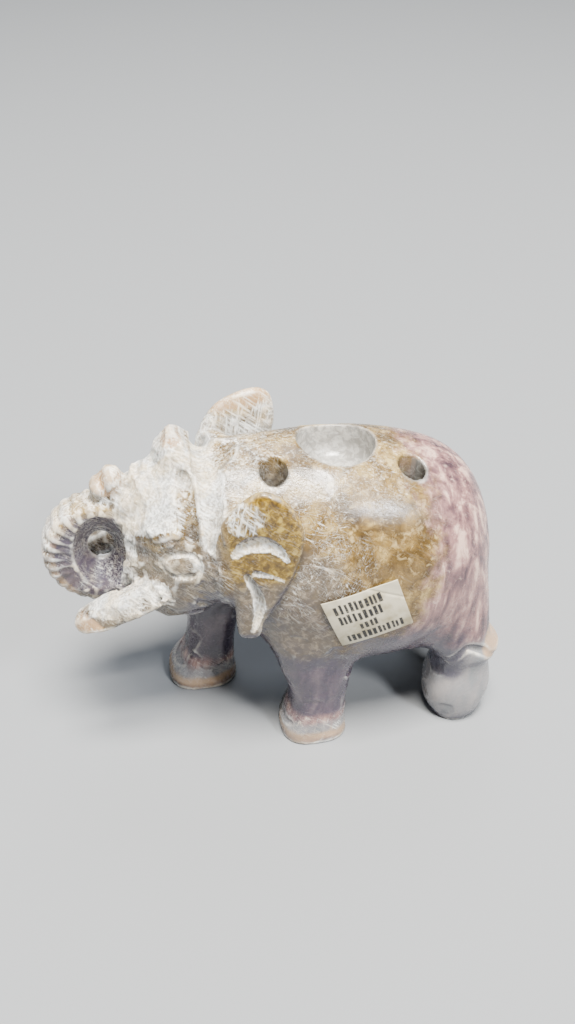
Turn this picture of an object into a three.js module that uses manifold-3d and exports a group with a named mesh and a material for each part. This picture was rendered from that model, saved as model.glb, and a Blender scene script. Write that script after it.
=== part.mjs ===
import * as THREE from 'three';
import { mergeVertices } from 'three/addons/utils/BufferGeometryUtils.js';
import Module from 'manifold-3d';

const wasm = await Module();
wasm.setup();

// Carved stone elephant that holds a cone or candle and two incense sticks on its back.
// Millimetres, +Z up. It faces -X, its left side faces -Y and its soles stand on Z = 0.
// The tables below are written for a figure 76 mm long. One factor scales them all.

// Driving sizes
const FIGURE_LENGTH = 76;
const unit = FIGURE_LENGTH / 76;

// Drilled holes, sized for what goes in them
const WELL_DIAMETER = 12.7;
const WELL_DEPTH = 7.5;
const WELL_BOTTOM_ROUND = 2.6;
const WELL_X = 7.0;
const STICK_DIAMETER = 4.3;
const STICK_DEPTH = 13;
const STICK_SPACING = 21.4;
const STICK_OFFSET = 5.3;

// Trunk loop
const LOOP_X = -30.4;
const LOOP_Z = 38.8;
const LOOP_RADIUS = 5.7;
const LOOP_HEIGHT = 6.3;
const TRUNK_RADIUS = 3.4;
const RIB_COUNT = 15;
const RIB_DEPTH = 0.4;

// Ears
const EAR_THICKNESS = 2.7;
const EAR_STAND = 14.1;
const EAR_FLARE = 0.13;
const EAR_GOUGE = 1.0;

// Neck groove and eye line
const GROOVE_RADIUS = 1.5;
const EYE_LINE = 0.45;

// Paper label
const LABEL_THICKNESS = 0.35;
const LABEL_GAP = 0.3;

// Barrel of the body: x, top, bottom, half width
const BODY_ROWS = [
  [-17.5, 44, 44, 0],
  [-16.6, 50.4, 36, 5.2],
  [-13.6, 54.0, 29.4, 9.6],
  [-10.6, 54.5, 25.4, 11.4],
  [-7.4, 54.5, 19.4, 13.2],
  [-3.4, 54.4, 15.0, 15.0],
  [1.4, 54.3, 12.8, 16.4],
  [7.0, 54.0, 12.0, 17.0],
  [13.0, 53.2, 11.9, 17.0],
  [19.0, 51.7, 12.3, 16.6],
  [24.2, 49.7, 13.2, 15.3],
  [28.0, 46.9, 14.4, 12.9],
  [30.7, 42.7, 16.4, 9.6],
  [32.2, 37.2, 20.0, 5.8],
  [32.7, 29.0, 29.0, 0],
];

// Head: x, top, bottom, half width, height of the widest line, upper and lower fullness
const HEAD_ROWS = [
  [-26.9, 39, 36, 0, 37, 1.5, 2.2],
  [-26.6, 47.0, 31.6, 5.2, 36.6, 1.5, 2.2],
  [-25.2, 50.6, 28.2, 8.0, 37.2, 1.55, 2.3],
  [-22.6, 53.2, 26.0, 10.0, 38.5, 1.6, 2.3],
  [-19.0, 55.2, 25.7, 11.5, 39.8, 1.7, 2.3],
  [-15.4, 56.0, 26.4, 12.3, 40.6, 1.8, 2.2],
  [-12.4, 54.8, 28.0, 11.6, 41.2, 1.9, 2.1],
  [-10.2, 51.5, 32.5, 8.6, 41.6, 2.0, 2.0],
  [-9.4, 42, 42, 0, 42, 2.0, 2.0],
];

// Crown of the head and the two small swellings in front of it: centre and radii
const CROWN = [
  [-17.8, 0.4, 52.9, 3.8, 5.4, 5.5],
  [-23.0, -0.6, 50.4, 2.7, 3.6, 3.7],
  [-20.4, -8.5, 46.0, 3.8, 2.3, 2.2],
  [-20.4, 8.5, 46.0, 3.8, 2.3, 2.2],
];

// Roots that carry the ears out from the neck: centre and radii
const EAR_ROOT = [-10.6, 10.6, 42.5, 4.0, 4.6, 9.4];

// Legs: how square their sections are, 1 for an ellipse, less for a rounded square
const FRONT_LEG_POWER = 0.8;
const REAR_LEG_POWER = 0.94;

// Legs: height, centre x, centre y, half length, half width
const NEAR_FRONT_LEG = [
  [33, 3.2, -8.6, 0, 0],
  [31, 3.2, -8.8, 4.6, 4.0],
  [25, 2.4, -9.3, 7.4, 5.8],
  [18, 2.3, -9.3, 6.6, 5.3],
  [12, 2.8, -9.0, 5.3, 4.8],
  [7.5, 2.9, -8.7, 4.9, 4.8],
  [4.2, 2.3, -8.6, 5.3, 5.1],
  [1.8, 2.1, -8.6, 5.7, 5.4],
  [-0.8, 2.3, -8.5, 5.2, 5.0],
  [-2, 2.3, -8.5, 0, 0],
];
const NEAR_REAR_LEG = [
  [35, 24.2, -8.0, 0, 0],
  [32, 24.4, -8.2, 4.8, 4.4],
  [25, 24.8, -8.7, 6.8, 5.9],
  [19.6, 26.2, -9.0, 6.2, 5.6],
  [15.8, 28.1, -9.0, 6.1, 5.4],
  [13.6, 27.9, -8.9, 5.3, 5.0],
  [11.6, 27.8, -8.8, 5.3, 5.0],
  [7.0, 27.7, -8.8, 6.0, 5.6],
  [3.2, 27.6, -8.8, 5.6, 5.4],
  [0.9, 27.5, -8.8, 4.6, 4.8],
  [-0.6, 27.5, -8.8, 3.5, 3.9],
  [-1.6, 27.5, -8.8, 0, 0],
];
const FAR_FRONT_LEG = [
  [32, -4.0, 8.0, 0, 0],
  [29, -5.6, 8.4, 4.6, 4.0],
  [22.5, -9.4, 9.0, 5.8, 5.2],
  [16, -12.2, 8.9, 4.9, 4.8],
  [10, -13.2, 8.5, 4.3, 4.6],
  [6, -13.9, 8.2, 4.6, 4.9],
  [3, -15.0, 8.1, 5.7, 5.4],
  [1.2, -15.3, 8.0, 6.1, 5.7],
  [-0.8, -15.2, 8.0, 5.6, 5.3],
  [-2, -15.2, 8.0, 0, 0],
];
const FAR_REAR_LEG = [
  [35, 24.4, 8.0, 0, 0],
  [32, 24.6, 8.2, 4.8, 4.4],
  [25, 25.6, 8.7, 6.8, 5.9],
  [19.6, 27.6, 9.0, 6.2, 5.6],
  [15.8, 29.7, 9.0, 6.1, 5.4],
  [13.6, 29.7, 8.9, 5.3, 5.0],
  [11.6, 29.8, 8.8, 5.3, 5.0],
  [7.0, 29.9, 8.8, 6.1, 5.6],
  [3.2, 29.8, 8.8, 5.6, 5.4],
  [0.9, 29.7, 8.8, 4.6, 4.8],
  [-0.6, 29.6, 8.8, 3.5, 3.9],
  [-1.6, 29.6, 8.8, 0, 0],
];

// Ears: outlines in x and z, the lines gouged into both
const NEAR_EAR = [
  [-13.6, 48.6], [-12.4, 51.0], [-10.0, 54.0], [-7.9, 55.6], [-6.2, 55.9], [-4.1, 54.6],
  [-2.5, 52.6], [-1.3, 50.0], [-1.0, 47.0], [-1.6, 43.4], [-2.6, 40.4], [-4.1, 36.9],
  [-5.8, 33.3], [-7.2, 30.7], [-7.7, 28.6], [-9.2, 27.9], [-10.8, 28.6], [-11.2, 32.0],
  [-11.2, 36.5], [-11.6, 41.0], [-13.0, 45.0],
];
const FAR_EAR = [
  [-13.4, 48.0], [-11.9, 51.2], [-9.9, 53.6], [-7.6, 54.7], [-5.0, 55.4], [-2.6, 55.3],
  [-0.9, 54.0], [-0.2, 51.6], [-0.2, 48.4], [-0.9, 44.8], [-2.2, 41.0], [-4.0, 37.0],
  [-5.8, 33.3], [-7.2, 30.7], [-7.9, 28.8], [-9.2, 28.1], [-10.7, 28.8], [-11.2, 32.0],
  [-11.2, 36.5], [-11.6, 41.0], [-13.0, 45.0],
];
const EAR_CRESCENT = [[-11.2, 46.6], [-9.4, 48.1], [-7.4, 48.5], [-5.4, 47.3], [-3.7, 44.6]];
const EAR_FOLD = [[-9.8, 43.4], [-8.9, 40.7], [-8.5, 37.6], [-8.9, 34.6], [-9.5, 32.0]];

// Tusks: root to tip, and their radii
const NEAR_TUSK = [[-22.5, -8.0, 35.2], [-26.5, -8.2, 33.2], [-30.6, -7.7, 31.0], [-33.6, -7.1, 29.4]];
const FAR_TUSK = [[-22.5, 8.0, 36.4], [-26.5, 7.8, 35.0], [-29.8, 7.3, 33.9], [-32.4, 6.9, 33.2]];
const TUSK_RADII = [2.9, 2.8, 2.5, 2.0];

// Trunk tip: middle line from the loop up to the forehead, and the two lobes at its end
const TIP_LINE = [[-28.6, 41.6], [-28.6, 45.2], [-28.3, 48.4], [-27.8, 50.6]];
const TIP_RADII = [2.9, 2.8, 2.6, 2.2];
const TIP_LOBES = [[-27.5, 51.2, 1.7, 2.5, 2.6], [-29.7, 49.9, 1.4, 2.3, 2.0]];

// Tail on the hidden rear: middle line down the rump in x and z
const TAIL_LINE = [[29.0, 42.2], [31.3, 36.6], [32.4, 29.0], [32.0, 21.6], [31.0, 16.8]];
const TAIL_RADII = [0.9, 1.2, 1.3, 1.4, 2.0];

// Corners of the label on the near flank, in x and z, and how many steps it is laid in
const LABEL_CORNERS = [[1.3, 35.6], [13.0, 38.9], [16.1, 29.6], [5.1, 25.6]];
const LABEL_STEPS = 6;

const stone = new THREE.MeshStandardMaterial({ color: 0xc4aa96, roughness: 0.5 });
const paper = new THREE.MeshStandardMaterial({ color: 0xe3dcc8, roughness: 0.8 });

// A smooth run of rows through the given rows, by Catmull-Rom, with steps samples per gap.
function smoothRows(rows, steps) {
  const result = [];
  const last = rows.length - 1;
  for (let i = 0; i < last; i += 1) {
    const before = rows[Math.max(i - 1, 0)];
    const after = rows[Math.min(i + 2, last)];
    for (let s = 0; s < steps; s += 1) {
      const t = s / steps;
      result.push(rows[i].map((value, k) => {
        const slopeA = (rows[i + 1][k] - before[k]) / 2;
        const slopeB = (after[k] - rows[i][k]) / 2;
        const h1 = 2 * t ** 3 - 3 * t ** 2 + 1;
        const h2 = t ** 3 - 2 * t ** 2 + t;
        const h3 = -2 * t ** 3 + 3 * t ** 2;
        const h4 = t ** 3 - t ** 2;
        return h1 * value + h2 * slopeA + h3 * rows[i + 1][k] + h4 * slopeB;
      }));
    }
  }
  result.push(rows[last].slice());
  return result;
}

// A signed power, for the fullness of a cross-section.
function full(value, power) {
  return Math.sign(value) * Math.abs(value) ** power;
}

// Closed surface through rings of points. The first and last rings are closed by fans.
function skin(rings) {
  const count = rings[0].length;
  const positions = [];
  rings.forEach((ring) => ring.forEach((point) => positions.push(...point)));
  const first = positions.length / 3;
  [rings[0], rings[rings.length - 1]].forEach((ring) => {
    const middle = [0, 1, 2].map((k) => ring.reduce((sum, p) => sum + p[k], 0) / count);
    positions.push(...middle);
  });
  const index = [];
  for (let j = 0; j < rings.length - 1; j += 1) {
    for (let i = 0; i < count; i += 1) {
      const a = j * count + i;
      const b = j * count + (i + 1) % count;
      index.push(a, b, a + count);
      index.push(b, b + count, a + count);
    }
  }
  const lastRow = (rings.length - 1) * count;
  for (let i = 0; i < count; i += 1) {
    index.push(first, (i + 1) % count, i);
    index.push(first + 1, lastRow + i, lastRow + (i + 1) % count);
  }
  const geometry = new THREE.BufferGeometry();
  geometry.setAttribute('position', new THREE.Float32BufferAttribute(positions, 3));
  geometry.setIndex(index);
  return geometry;
}

// Solid from a closed three.js surface, in either winding.
function solid(geometry) {
  const bare = geometry.clone();
  bare.deleteAttribute('normal');
  bare.deleteAttribute('uv');
  const merged = mergeVertices(bare, 1e-4);
  const points = merged.attributes.position.array;
  const triangles = [];
  const source = merged.index.array;
  for (let i = 0; i < source.length; i += 3) {
    const [a, b, c] = [source[i], source[i + 1], source[i + 2]];
    if (a !== b && b !== c && a !== c) {
      triangles.push(a, b, c);
    }
  }
  let volume = 0;
  for (let i = 0; i < triangles.length; i += 3) {
    const [a, b, c] = [0, 1, 2].map((k) => {
      const at = triangles[i + k] * 3;
      return new THREE.Vector3(points[at], points[at + 1], points[at + 2]);
    });
    volume += a.dot(b.cross(c));
  }
  if (volume < 0) {
    for (let i = 0; i < triangles.length; i += 3) {
      [triangles[i], triangles[i + 1]] = [triangles[i + 1], triangles[i]];
    }
  }
  const mesh = new wasm.Mesh({
    numProp: 3,
    vertProperties: new Float32Array(points),
    triVerts: new Uint32Array(triangles),
  });
  return new wasm.Manifold(mesh);
}

// Barrel section at one row: an ellipse across the body.
function bodyRing(row, sides) {
  const [x, top, bottom, half] = row.map((value) => value * unit);
  const ring = [];
  for (let i = 0; i < sides; i += 1) {
    const angle = (i / sides) * 2 * Math.PI;
    const z = (top + bottom) / 2 + ((top - bottom) / 2) * Math.sin(angle);
    ring.push([x, half * Math.cos(angle), z]);
  }
  return ring;
}

// Head section at one row: two half ellipses of their own height and fullness.
function headRing(row, sides) {
  const [x, top, bottom, half, middle] = row.slice(0, 5).map((value) => value * unit);
  const [upper, lower] = row.slice(5);
  const ring = [];
  for (let i = 0; i < sides; i += 1) {
    const angle = (i / sides) * 2 * Math.PI;
    const above = Math.sin(angle) >= 0;
    const power = 2 / (above ? upper : lower);
    const height = above ? top - middle : middle - bottom;
    const y = half * full(Math.cos(angle), power);
    ring.push([x, y, middle + height * full(Math.sin(angle), power)]);
  }
  return ring;
}

// Leg section at one row: a level ellipse, filled out towards a rounded square by its power.
function legRing(row, sides, power) {
  const [z, x, y, long, wide] = row.map((value) => value * unit);
  const ring = [];
  for (let i = 0; i < sides; i += 1) {
    const angle = (i / sides) * 2 * Math.PI;
    const across = x + long * full(Math.cos(angle), power);
    ring.push([across, y + wide * full(Math.sin(angle), power), z]);
  }
  return ring;
}

// Round bar along points with their own radii, with domed ends and ribs on its upper side.
function bar(points, radii, sides, steps, ribs = () => 0) {
  const path = smoothRows(points.map((point, i) => [...point, radii[i]]), steps);
  const count = path.length - 1;
  const rings = [];
  const place = (centre, forward, radius, rib = 0) => {
    const side = new THREE.Vector3(0, 1, 0).addScaledVector(forward, -forward.y).normalize();
    const up = new THREE.Vector3().crossVectors(forward, side);
    const ring = [];
    for (let i = 0; i < sides; i += 1) {
      const angle = (i / sides) * 2 * Math.PI;
      const point = centre.clone();
      const reach = radius * (1 + rib * Math.max(Math.sin(angle), 0));
      point.addScaledVector(side, reach * Math.cos(angle));
      point.addScaledVector(up, reach * Math.sin(angle));
      ring.push(point.toArray());
    }
    rings.push(ring);
  };
  const spot = (i) => new THREE.Vector3(path[i][0], path[i][1], path[i][2]).multiplyScalar(unit);
  const heading = (i) => {
    const a = spot(Math.max(i - 1, 0));
    const b = spot(Math.min(i + 1, count));
    return b.sub(a).normalize();
  };
  const start = heading(0);
  const end = heading(count);
  [80, 50, 25].forEach((degrees) => {
    const angle = THREE.MathUtils.degToRad(degrees);
    const radius = path[0][3] * unit;
    place(spot(0).addScaledVector(start, -radius * Math.sin(angle)), start, radius * Math.cos(angle));
  });
  for (let i = 0; i <= count; i += 1) {
    place(spot(i), heading(i), path[i][3] * unit, ribs(i / count));
  }
  [25, 50, 80].forEach((degrees) => {
    const angle = THREE.MathUtils.degToRad(degrees);
    const radius = path[count][3] * unit;
    place(spot(count).addScaledVector(end, radius * Math.sin(angle)), end, radius * Math.cos(angle));
  });
  return solid(skin(rings));
}

// Rounded swelling from its centre and three radii.
function blob([x, y, z, a, b, c], width, height) {
  const geometry = new THREE.SphereGeometry(1, width, height);
  geometry.scale(a * unit, b * unit, c * unit);
  geometry.translate(x * unit, y * unit, z * unit);
  return solid(geometry);
}

// The trunk loop: from inside the face, out under the loop, up its front and back to the face.
function trunkLoop() {
  const points = [];
  const radii = [];
  const steps = 50;
  for (let i = 0; i <= steps; i += 1) {
    const angle = THREE.MathUtils.degToRad(-5 - (i / steps) * 305);
    const x = LOOP_X + LOOP_RADIUS * Math.cos(angle);
    const z = LOOP_Z + LOOP_HEIGHT * Math.sin(angle);
    points.push([x, 0, z]);
    radii.push(TRUNK_RADIUS * (1.04 - 0.1 * (i / steps)));
  }
  const rib = (t) => (RIB_DEPTH / TRUNK_RADIUS) * Math.sin(t * RIB_COUNT * 2 * Math.PI);
  return bar(points, radii, 11, 1, (t) => (t > 0.14 && t < 0.96 ? rib(t) : 0));
}

// How far the middle of an ear stands out from the middle plane at a place in its outline.
function earStand(x) {
  return EAR_STAND + EAR_FLARE * (x + 7);
}

// One ear: the outline given thickness, then leant outwards, with its edges rounded off.
function ear(side) {
  const outline = (side < 0 ? NEAR_EAR : FAR_EAR).map(([x, z]) => new THREE.Vector2(x, z));
  const smooth = new THREE.SplineCurve([...outline, outline[0]]).getPoints(28).slice(0, -1);
  const shape = new THREE.Shape(smooth);
  const round = EAR_THICKNESS * 0.32;
  const geometry = new THREE.ExtrudeGeometry(shape, {
    depth: EAR_THICKNESS - 2 * round,
    bevelEnabled: true,
    bevelThickness: round,
    bevelSize: round * 0.9,
    bevelOffset: -round * 0.9,
    bevelSegments: 2,
  });
  geometry.translate(0, 0, -EAR_THICKNESS / 2 + round);
  const position = geometry.attributes.position;
  for (let i = 0; i < position.count; i += 1) {
    const x = position.getX(i);
    const z = position.getY(i);
    const y = side * (earStand(x) + position.getZ(i));
    position.setXYZ(i, x * unit, y * unit, z * unit);
  }
  return solid(geometry);
}

// Cutter that follows a line on the outer face of an ear.
function earCut(line, side, radius) {
  const points = line.map(([x, z]) => [x, side * (earStand(x) + EAR_THICKNESS / 2 + 0.25), z]);
  return bar(points, line.map((_, i) => radius * (i === 0 || i === line.length - 1 ? 0.55 : 1)), 6, 2);
}

// Groove over the neck behind the head, from one side to the other.
function neckGroove() {
  const points = [];
  const radii = [];
  const steps = 18;
  for (let i = 0; i <= steps; i += 1) {
    const angle = THREE.MathUtils.degToRad(-72 + (144 * i) / steps);
    points.push([-13.4, 13.2 * Math.sin(angle), 41.2 + 14.8 * Math.cos(angle)]);
    radii.push(GROOVE_RADIUS);
  }
  return bar(points, radii, 8, 1);
}

// One row of a table of rows at a place along x, by straight lines between rows.
function rowAt(rows, x) {
  let i = 1;
  while (i < rows.length - 1 && rows[i][0] < x) {
    i += 1;
  }
  const [a, b] = [rows[i - 1], rows[i]];
  const t = (x - a[0]) / (b[0] - a[0]);
  return a.map((value, k) => value + (b[k] - value) * t);
}
const bodyRows = smoothRows(BODY_ROWS, 8);
const headRows = smoothRows(HEAD_ROWS, 8);

// Side of the head at a place, as a distance from the middle plane.
function cheek(x, z) {
  const [, top, bottom, half, middle, upper, lower] = rowAt(headRows, x);
  const above = z >= middle;
  const ratio = Math.min((z - middle) / (above ? top - middle : bottom - middle), 1);
  const power = above ? upper : lower;
  return half * (1 - ratio ** power) ** (1 / power);
}

// Fine line round one eye, laid on the cheek.
function eyeLine(side) {
  const rings = [];
  const around = 16;
  for (let i = 0; i < around; i += 1) {
    const angle = (i / around) * 2 * Math.PI;
    const out = new THREE.Vector3(Math.cos(angle), 0, Math.sin(angle));
    const x = -19.2 + 3.0 * Math.cos(angle);
    const z = 42.2 + 2.3 * Math.sin(angle) - 0.1 * (x + 19.2);
    const y = side * cheek(x, z);
    const ring = [];
    for (let k = 0; k < 5; k += 1) {
      const turn = (k / 5) * 2 * Math.PI;
      const point = new THREE.Vector3(x, y + EYE_LINE * Math.cos(turn), z);
      point.addScaledVector(out, EYE_LINE * Math.sin(turn));
      ring.push(point.multiplyScalar(unit).toArray());
    }
    rings.push(ring);
  }
  return rings;
}

// Closed ring surface from rings of points that run round in a loop.
function hoop(rings) {
  const count = rings[0].length;
  const positions = rings.flat(2);
  const index = [];
  for (let j = 0; j < rings.length; j += 1) {
    const next = (j + 1) % rings.length;
    for (let i = 0; i < count; i += 1) {
      const k = (i + 1) % count;
      index.push(j * count + i, j * count + k, next * count + i);
      index.push(j * count + k, next * count + k, next * count + i);
    }
  }
  const geometry = new THREE.BufferGeometry();
  geometry.setAttribute('position', new THREE.Float32BufferAttribute(positions, 3));
  geometry.setIndex(index);
  return solid(geometry);
}

// Side of the body at a place, as a distance from the middle plane.
function flank(x, z) {
  const [, top, bottom, half] = rowAt(bodyRows, x);
  const ratio = (z - (top + bottom) / 2) / ((top - bottom) / 2);
  return half * Math.sqrt(Math.max(1 - ratio * ratio, 0));
}

// Drill straight down at a place on the back, with a rounded bottom corner.
function drill(x, y, diameter, depth, round, sides) {
  const [, top, bottom, half] = rowAt(bodyRows, x / unit);
  const ratio = y / unit / half;
  const surface = unit * ((top + bottom) / 2 + ((top - bottom) / 2) * Math.sqrt(1 - ratio * ratio));
  const floor = surface - depth;
  const radius = diameter / 2;
  const profile = [new THREE.Vector2(0, floor)];
  for (let i = 0; i <= 4; i += 1) {
    const angle = (i / 4) * (Math.PI / 2);
    const out = radius - round + round * Math.sin(angle);
    profile.push(new THREE.Vector2(out, floor + round - round * Math.cos(angle)));
  }
  profile.push(new THREE.Vector2(radius, surface + 8));
  profile.push(new THREE.Vector2(0, surface + 8));
  const geometry = new THREE.LatheGeometry(profile, sides);
  geometry.rotateX(Math.PI / 2);
  geometry.translate(x, y, 0);
  return solid(geometry);
}

// The whole carved figure as one solid.
function carve() {
  const body = solid(skin(smoothRows(BODY_ROWS, 2).map((row) => bodyRing(row, 26))));
  const head = solid(skin(smoothRows(HEAD_ROWS, 2).map((row) => headRing(row, 20))));
  const legs = [
    [NEAR_FRONT_LEG, FRONT_LEG_POWER],
    [FAR_FRONT_LEG, FRONT_LEG_POWER],
    [NEAR_REAR_LEG, REAR_LEG_POWER],
    [FAR_REAR_LEG, REAR_LEG_POWER],
  ];
  let figure = body.add(head);
  legs.forEach(([rows, power]) => {
    figure = figure.add(solid(skin(rows.map((row) => legRing(row, 14, power)))));
  });
  CROWN.forEach((place) => {
    figure = figure.add(blob(place, 12, 7));
  });
  [-1, 1].forEach((side) => {
    const [x, y, z, ...radii] = EAR_ROOT;
    figure = figure.add(blob([x, side * y, z, ...radii], 11, 7));
    figure = figure.add(ear(side));
  });
  figure = figure.add(trunkLoop());
  const tip = TIP_LINE.map(([x, z]) => [x, 0, z]);
  figure = figure.add(bar(tip, TIP_RADII, 10, 1));
  TIP_LOBES.forEach(([x, z, a, b, c]) => {
    figure = figure.add(blob([x, -0.4, z, a, b, c], 10, 7));
  });
  figure = figure.add(bar(NEAR_TUSK, TUSK_RADII, 9, 1));
  figure = figure.add(bar(FAR_TUSK, TUSK_RADII, 9, 1));
  const tail = TAIL_LINE.map(([x, z]) => [x, 0, z]);
  figure = figure.add(bar(tail, TAIL_RADII, 8, 1));

  figure = figure.subtract(neckGroove());
  [-1, 1].forEach((side) => {
    figure = figure.subtract(hoop(eyeLine(side)));
    figure = figure.subtract(earCut(EAR_CRESCENT, side, EAR_GOUGE));
    figure = figure.subtract(earCut(EAR_FOLD, side, EAR_GOUGE * 0.8));
  });
  figure = figure.subtract(
    drill(WELL_X * unit, 0, WELL_DIAMETER, WELL_DEPTH, WELL_BOTTOM_ROUND, 32),
  );
  [-1, 1].forEach((end) => {
    const x = WELL_X * unit + (end * STICK_SPACING) / 2;
    figure = figure.subtract(drill(x, -STICK_OFFSET * unit, STICK_DIAMETER, STICK_DEPTH, 0.9, 14));
  });
  const below = new THREE.BoxGeometry(200 * unit, 200 * unit, 40);
  below.translate(0, 0, -20);
  figure = figure.subtract(solid(below));
  return figure;
}

// The label: a thin sheet that follows the flank at a small gap.
function label() {
  const [a, b, c, d] = LABEL_CORNERS;
  const sheet = (lift) => {
    const rows = [];
    for (let j = 0; j <= LABEL_STEPS; j += 1) {
      const row = [];
      for (let i = 0; i <= LABEL_STEPS; i += 1) {
        const [s, t] = [i / LABEL_STEPS, j / LABEL_STEPS];
        const mix = (k) => (1 - t) * ((1 - s) * a[k] + s * b[k]) + t * ((1 - s) * d[k] + s * c[k]);
        const [x, z] = [mix(0), mix(1)];
        row.push([x * unit, -flank(x, z) * unit - lift, z * unit]);
      }
      rows.push(row);
    }
    return rows;
  };
  const inner = sheet(LABEL_GAP);
  const outer = sheet(LABEL_GAP + LABEL_THICKNESS);
  const size = LABEL_STEPS + 1;
  const positions = [...inner.flat(2), ...outer.flat(2)];
  const index = [];
  const at = (layer, j, i) => layer * size * size + j * size + i;
  const quad = (p, q, r, s) => index.push(p, q, r, p, r, s);
  for (let j = 0; j < LABEL_STEPS; j += 1) {
    for (let i = 0; i < LABEL_STEPS; i += 1) {
      quad(at(0, j, i), at(0, j, i + 1), at(0, j + 1, i + 1), at(0, j + 1, i));
      quad(at(1, j, i), at(1, j + 1, i), at(1, j + 1, i + 1), at(1, j, i + 1));
    }
    quad(at(0, j, 0), at(0, j + 1, 0), at(1, j + 1, 0), at(1, j, 0));
    quad(at(0, j + 1, LABEL_STEPS), at(0, j, LABEL_STEPS), at(1, j, LABEL_STEPS), at(1, j + 1, LABEL_STEPS));
    quad(at(0, 0, j + 1), at(0, 0, j), at(1, 0, j), at(1, 0, j + 1));
    quad(at(0, LABEL_STEPS, j), at(0, LABEL_STEPS, j + 1), at(1, LABEL_STEPS, j + 1), at(1, LABEL_STEPS, j));
  }
  const geometry = new THREE.BufferGeometry();
  geometry.setAttribute('position', new THREE.Float32BufferAttribute(positions, 3));
  geometry.setIndex(index);
  return solid(geometry);
}

// Named mesh from a solid, in three.js form.
function node(name, shape, material) {
  const mesh = shape.getMesh();
  const geometry = new THREE.BufferGeometry();
  const positions = new Float32Array(mesh.numVert * 3);
  for (let i = 0; i < mesh.numVert; i += 1) {
    for (let k = 0; k < 3; k += 1) {
      positions[i * 3 + k] = mesh.vertProperties[i * mesh.numProp + k];
    }
  }
  geometry.setAttribute('position', new THREE.BufferAttribute(positions, 3));
  geometry.setIndex(new THREE.BufferAttribute(new Uint32Array(mesh.triVerts), 1));
  geometry.computeVertexNormals();
  const result = new THREE.Mesh(geometry, material);
  result.name = name;
  return result;
}

const group = new THREE.Group();
const figure = node('elephant', carve(), stone);
const sticker = node('paper_label', label(), paper);
const box = new THREE.Box3();
[figure, sticker].forEach((mesh) => {
  mesh.geometry.computeBoundingBox();
  box.union(mesh.geometry.boundingBox);
});
const shift = [-(box.min.x + box.max.x) / 2, -(box.min.y + box.max.y) / 2, -box.min.z];
[figure, sticker].forEach((mesh) => {
  mesh.geometry.translate(...shift);
  group.add(mesh);
});

export default group;
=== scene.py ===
# %% [markdown]
# # Carved stone elephant, an incense holder
# The real object is one block of banded soft marble. It was sawn, drilled and carved by hand,
# then only its flanks were polished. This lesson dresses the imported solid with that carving
# and that stone. We start by loading the solid as a fixed frame and keeping its box.

# %% Load the frame
import math

import bpy
import numpy as np
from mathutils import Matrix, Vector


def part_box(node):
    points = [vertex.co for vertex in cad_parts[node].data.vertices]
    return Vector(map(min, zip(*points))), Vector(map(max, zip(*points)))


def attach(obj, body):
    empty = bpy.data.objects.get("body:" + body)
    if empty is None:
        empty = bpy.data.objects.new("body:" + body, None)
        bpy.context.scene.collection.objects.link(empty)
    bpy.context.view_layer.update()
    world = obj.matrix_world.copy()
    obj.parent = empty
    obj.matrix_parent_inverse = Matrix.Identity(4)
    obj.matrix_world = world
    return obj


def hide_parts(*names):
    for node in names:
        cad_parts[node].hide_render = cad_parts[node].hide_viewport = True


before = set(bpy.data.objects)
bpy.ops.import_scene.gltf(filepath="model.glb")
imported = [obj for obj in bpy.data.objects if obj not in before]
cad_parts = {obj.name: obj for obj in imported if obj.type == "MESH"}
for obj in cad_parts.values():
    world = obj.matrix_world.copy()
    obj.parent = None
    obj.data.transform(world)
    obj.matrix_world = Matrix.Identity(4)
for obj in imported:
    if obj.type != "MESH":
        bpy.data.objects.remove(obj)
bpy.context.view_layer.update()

import openvdb as vdb

# %% [markdown]
# ## One ruler for the whole lesson
# The tables below are in millimetres, in the carver's own axes: x runs from trunk to rump, y from
# the left flank to the right, z up from the floor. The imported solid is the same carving, coarser
# and moved so that its box is centred. So one shift, found from both boxes, turns the tables into
# the frame's places.

# %% Shift from the tables to the frame
TABLE_BOX_X = (-39.615, 36.0)
MM = 0.001


def find_shift():
    """Shift in mm = middle of the solid's box minus middle of the table's box, with the floor at 0."""
    low, high = np.array(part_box("elephant")) / MM
    return np.array([(low[0] + high[0]) / 2 - sum(TABLE_BOX_X) / 2, (low[1] + high[1]) / 2, low[2]])


SHIFT = find_shift()
solid_low, solid_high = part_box("elephant")
print("shift in mm:", SHIFT.round(3), "length of the solid:", round((solid_high[0] - solid_low[0]) / MM, 2))

# %% [markdown]
# ## Surfaces from rows
# Every limb is a smooth skin stretched over a few measured sections. A section is a ring of
# points. Between two sections the sizes follow a Catmull-Rom curve, so the form has no corners
# that the carver didn't cut.

# %% Skins over sections
def smooth_rows(rows, steps):
    """Catmull-Rom: each gap is h1*a + h2*slope_a + h3*b + h4*slope_b, slopes half the outer chord."""
    rows = np.asarray(rows, float)
    before = np.vstack([rows[:1], rows[:-2]])
    after = np.vstack([rows[2:], rows[-1:]])
    a, b = rows[:-1], rows[1:]
    t = np.linspace(0, 1, steps, endpoint=False)[None, :, None]
    h1, h2 = 2 * t**3 - 3 * t**2 + 1, t**3 - 2 * t**2 + t
    h3, h4 = -2 * t**3 + 3 * t**2, t**3 - t**2
    run = (h1 * a[:, None] + h2 * ((b - before) / 2)[:, None]
           + h3 * b[:, None] + h4 * ((after - a) / 2)[:, None])
    return np.vstack([run.reshape(-1, rows.shape[1]), rows[-1:]])


def signed_power(value, power):
    """The value raised to the power, keeping its sign."""
    return np.sign(value) * np.abs(value) ** power


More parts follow.
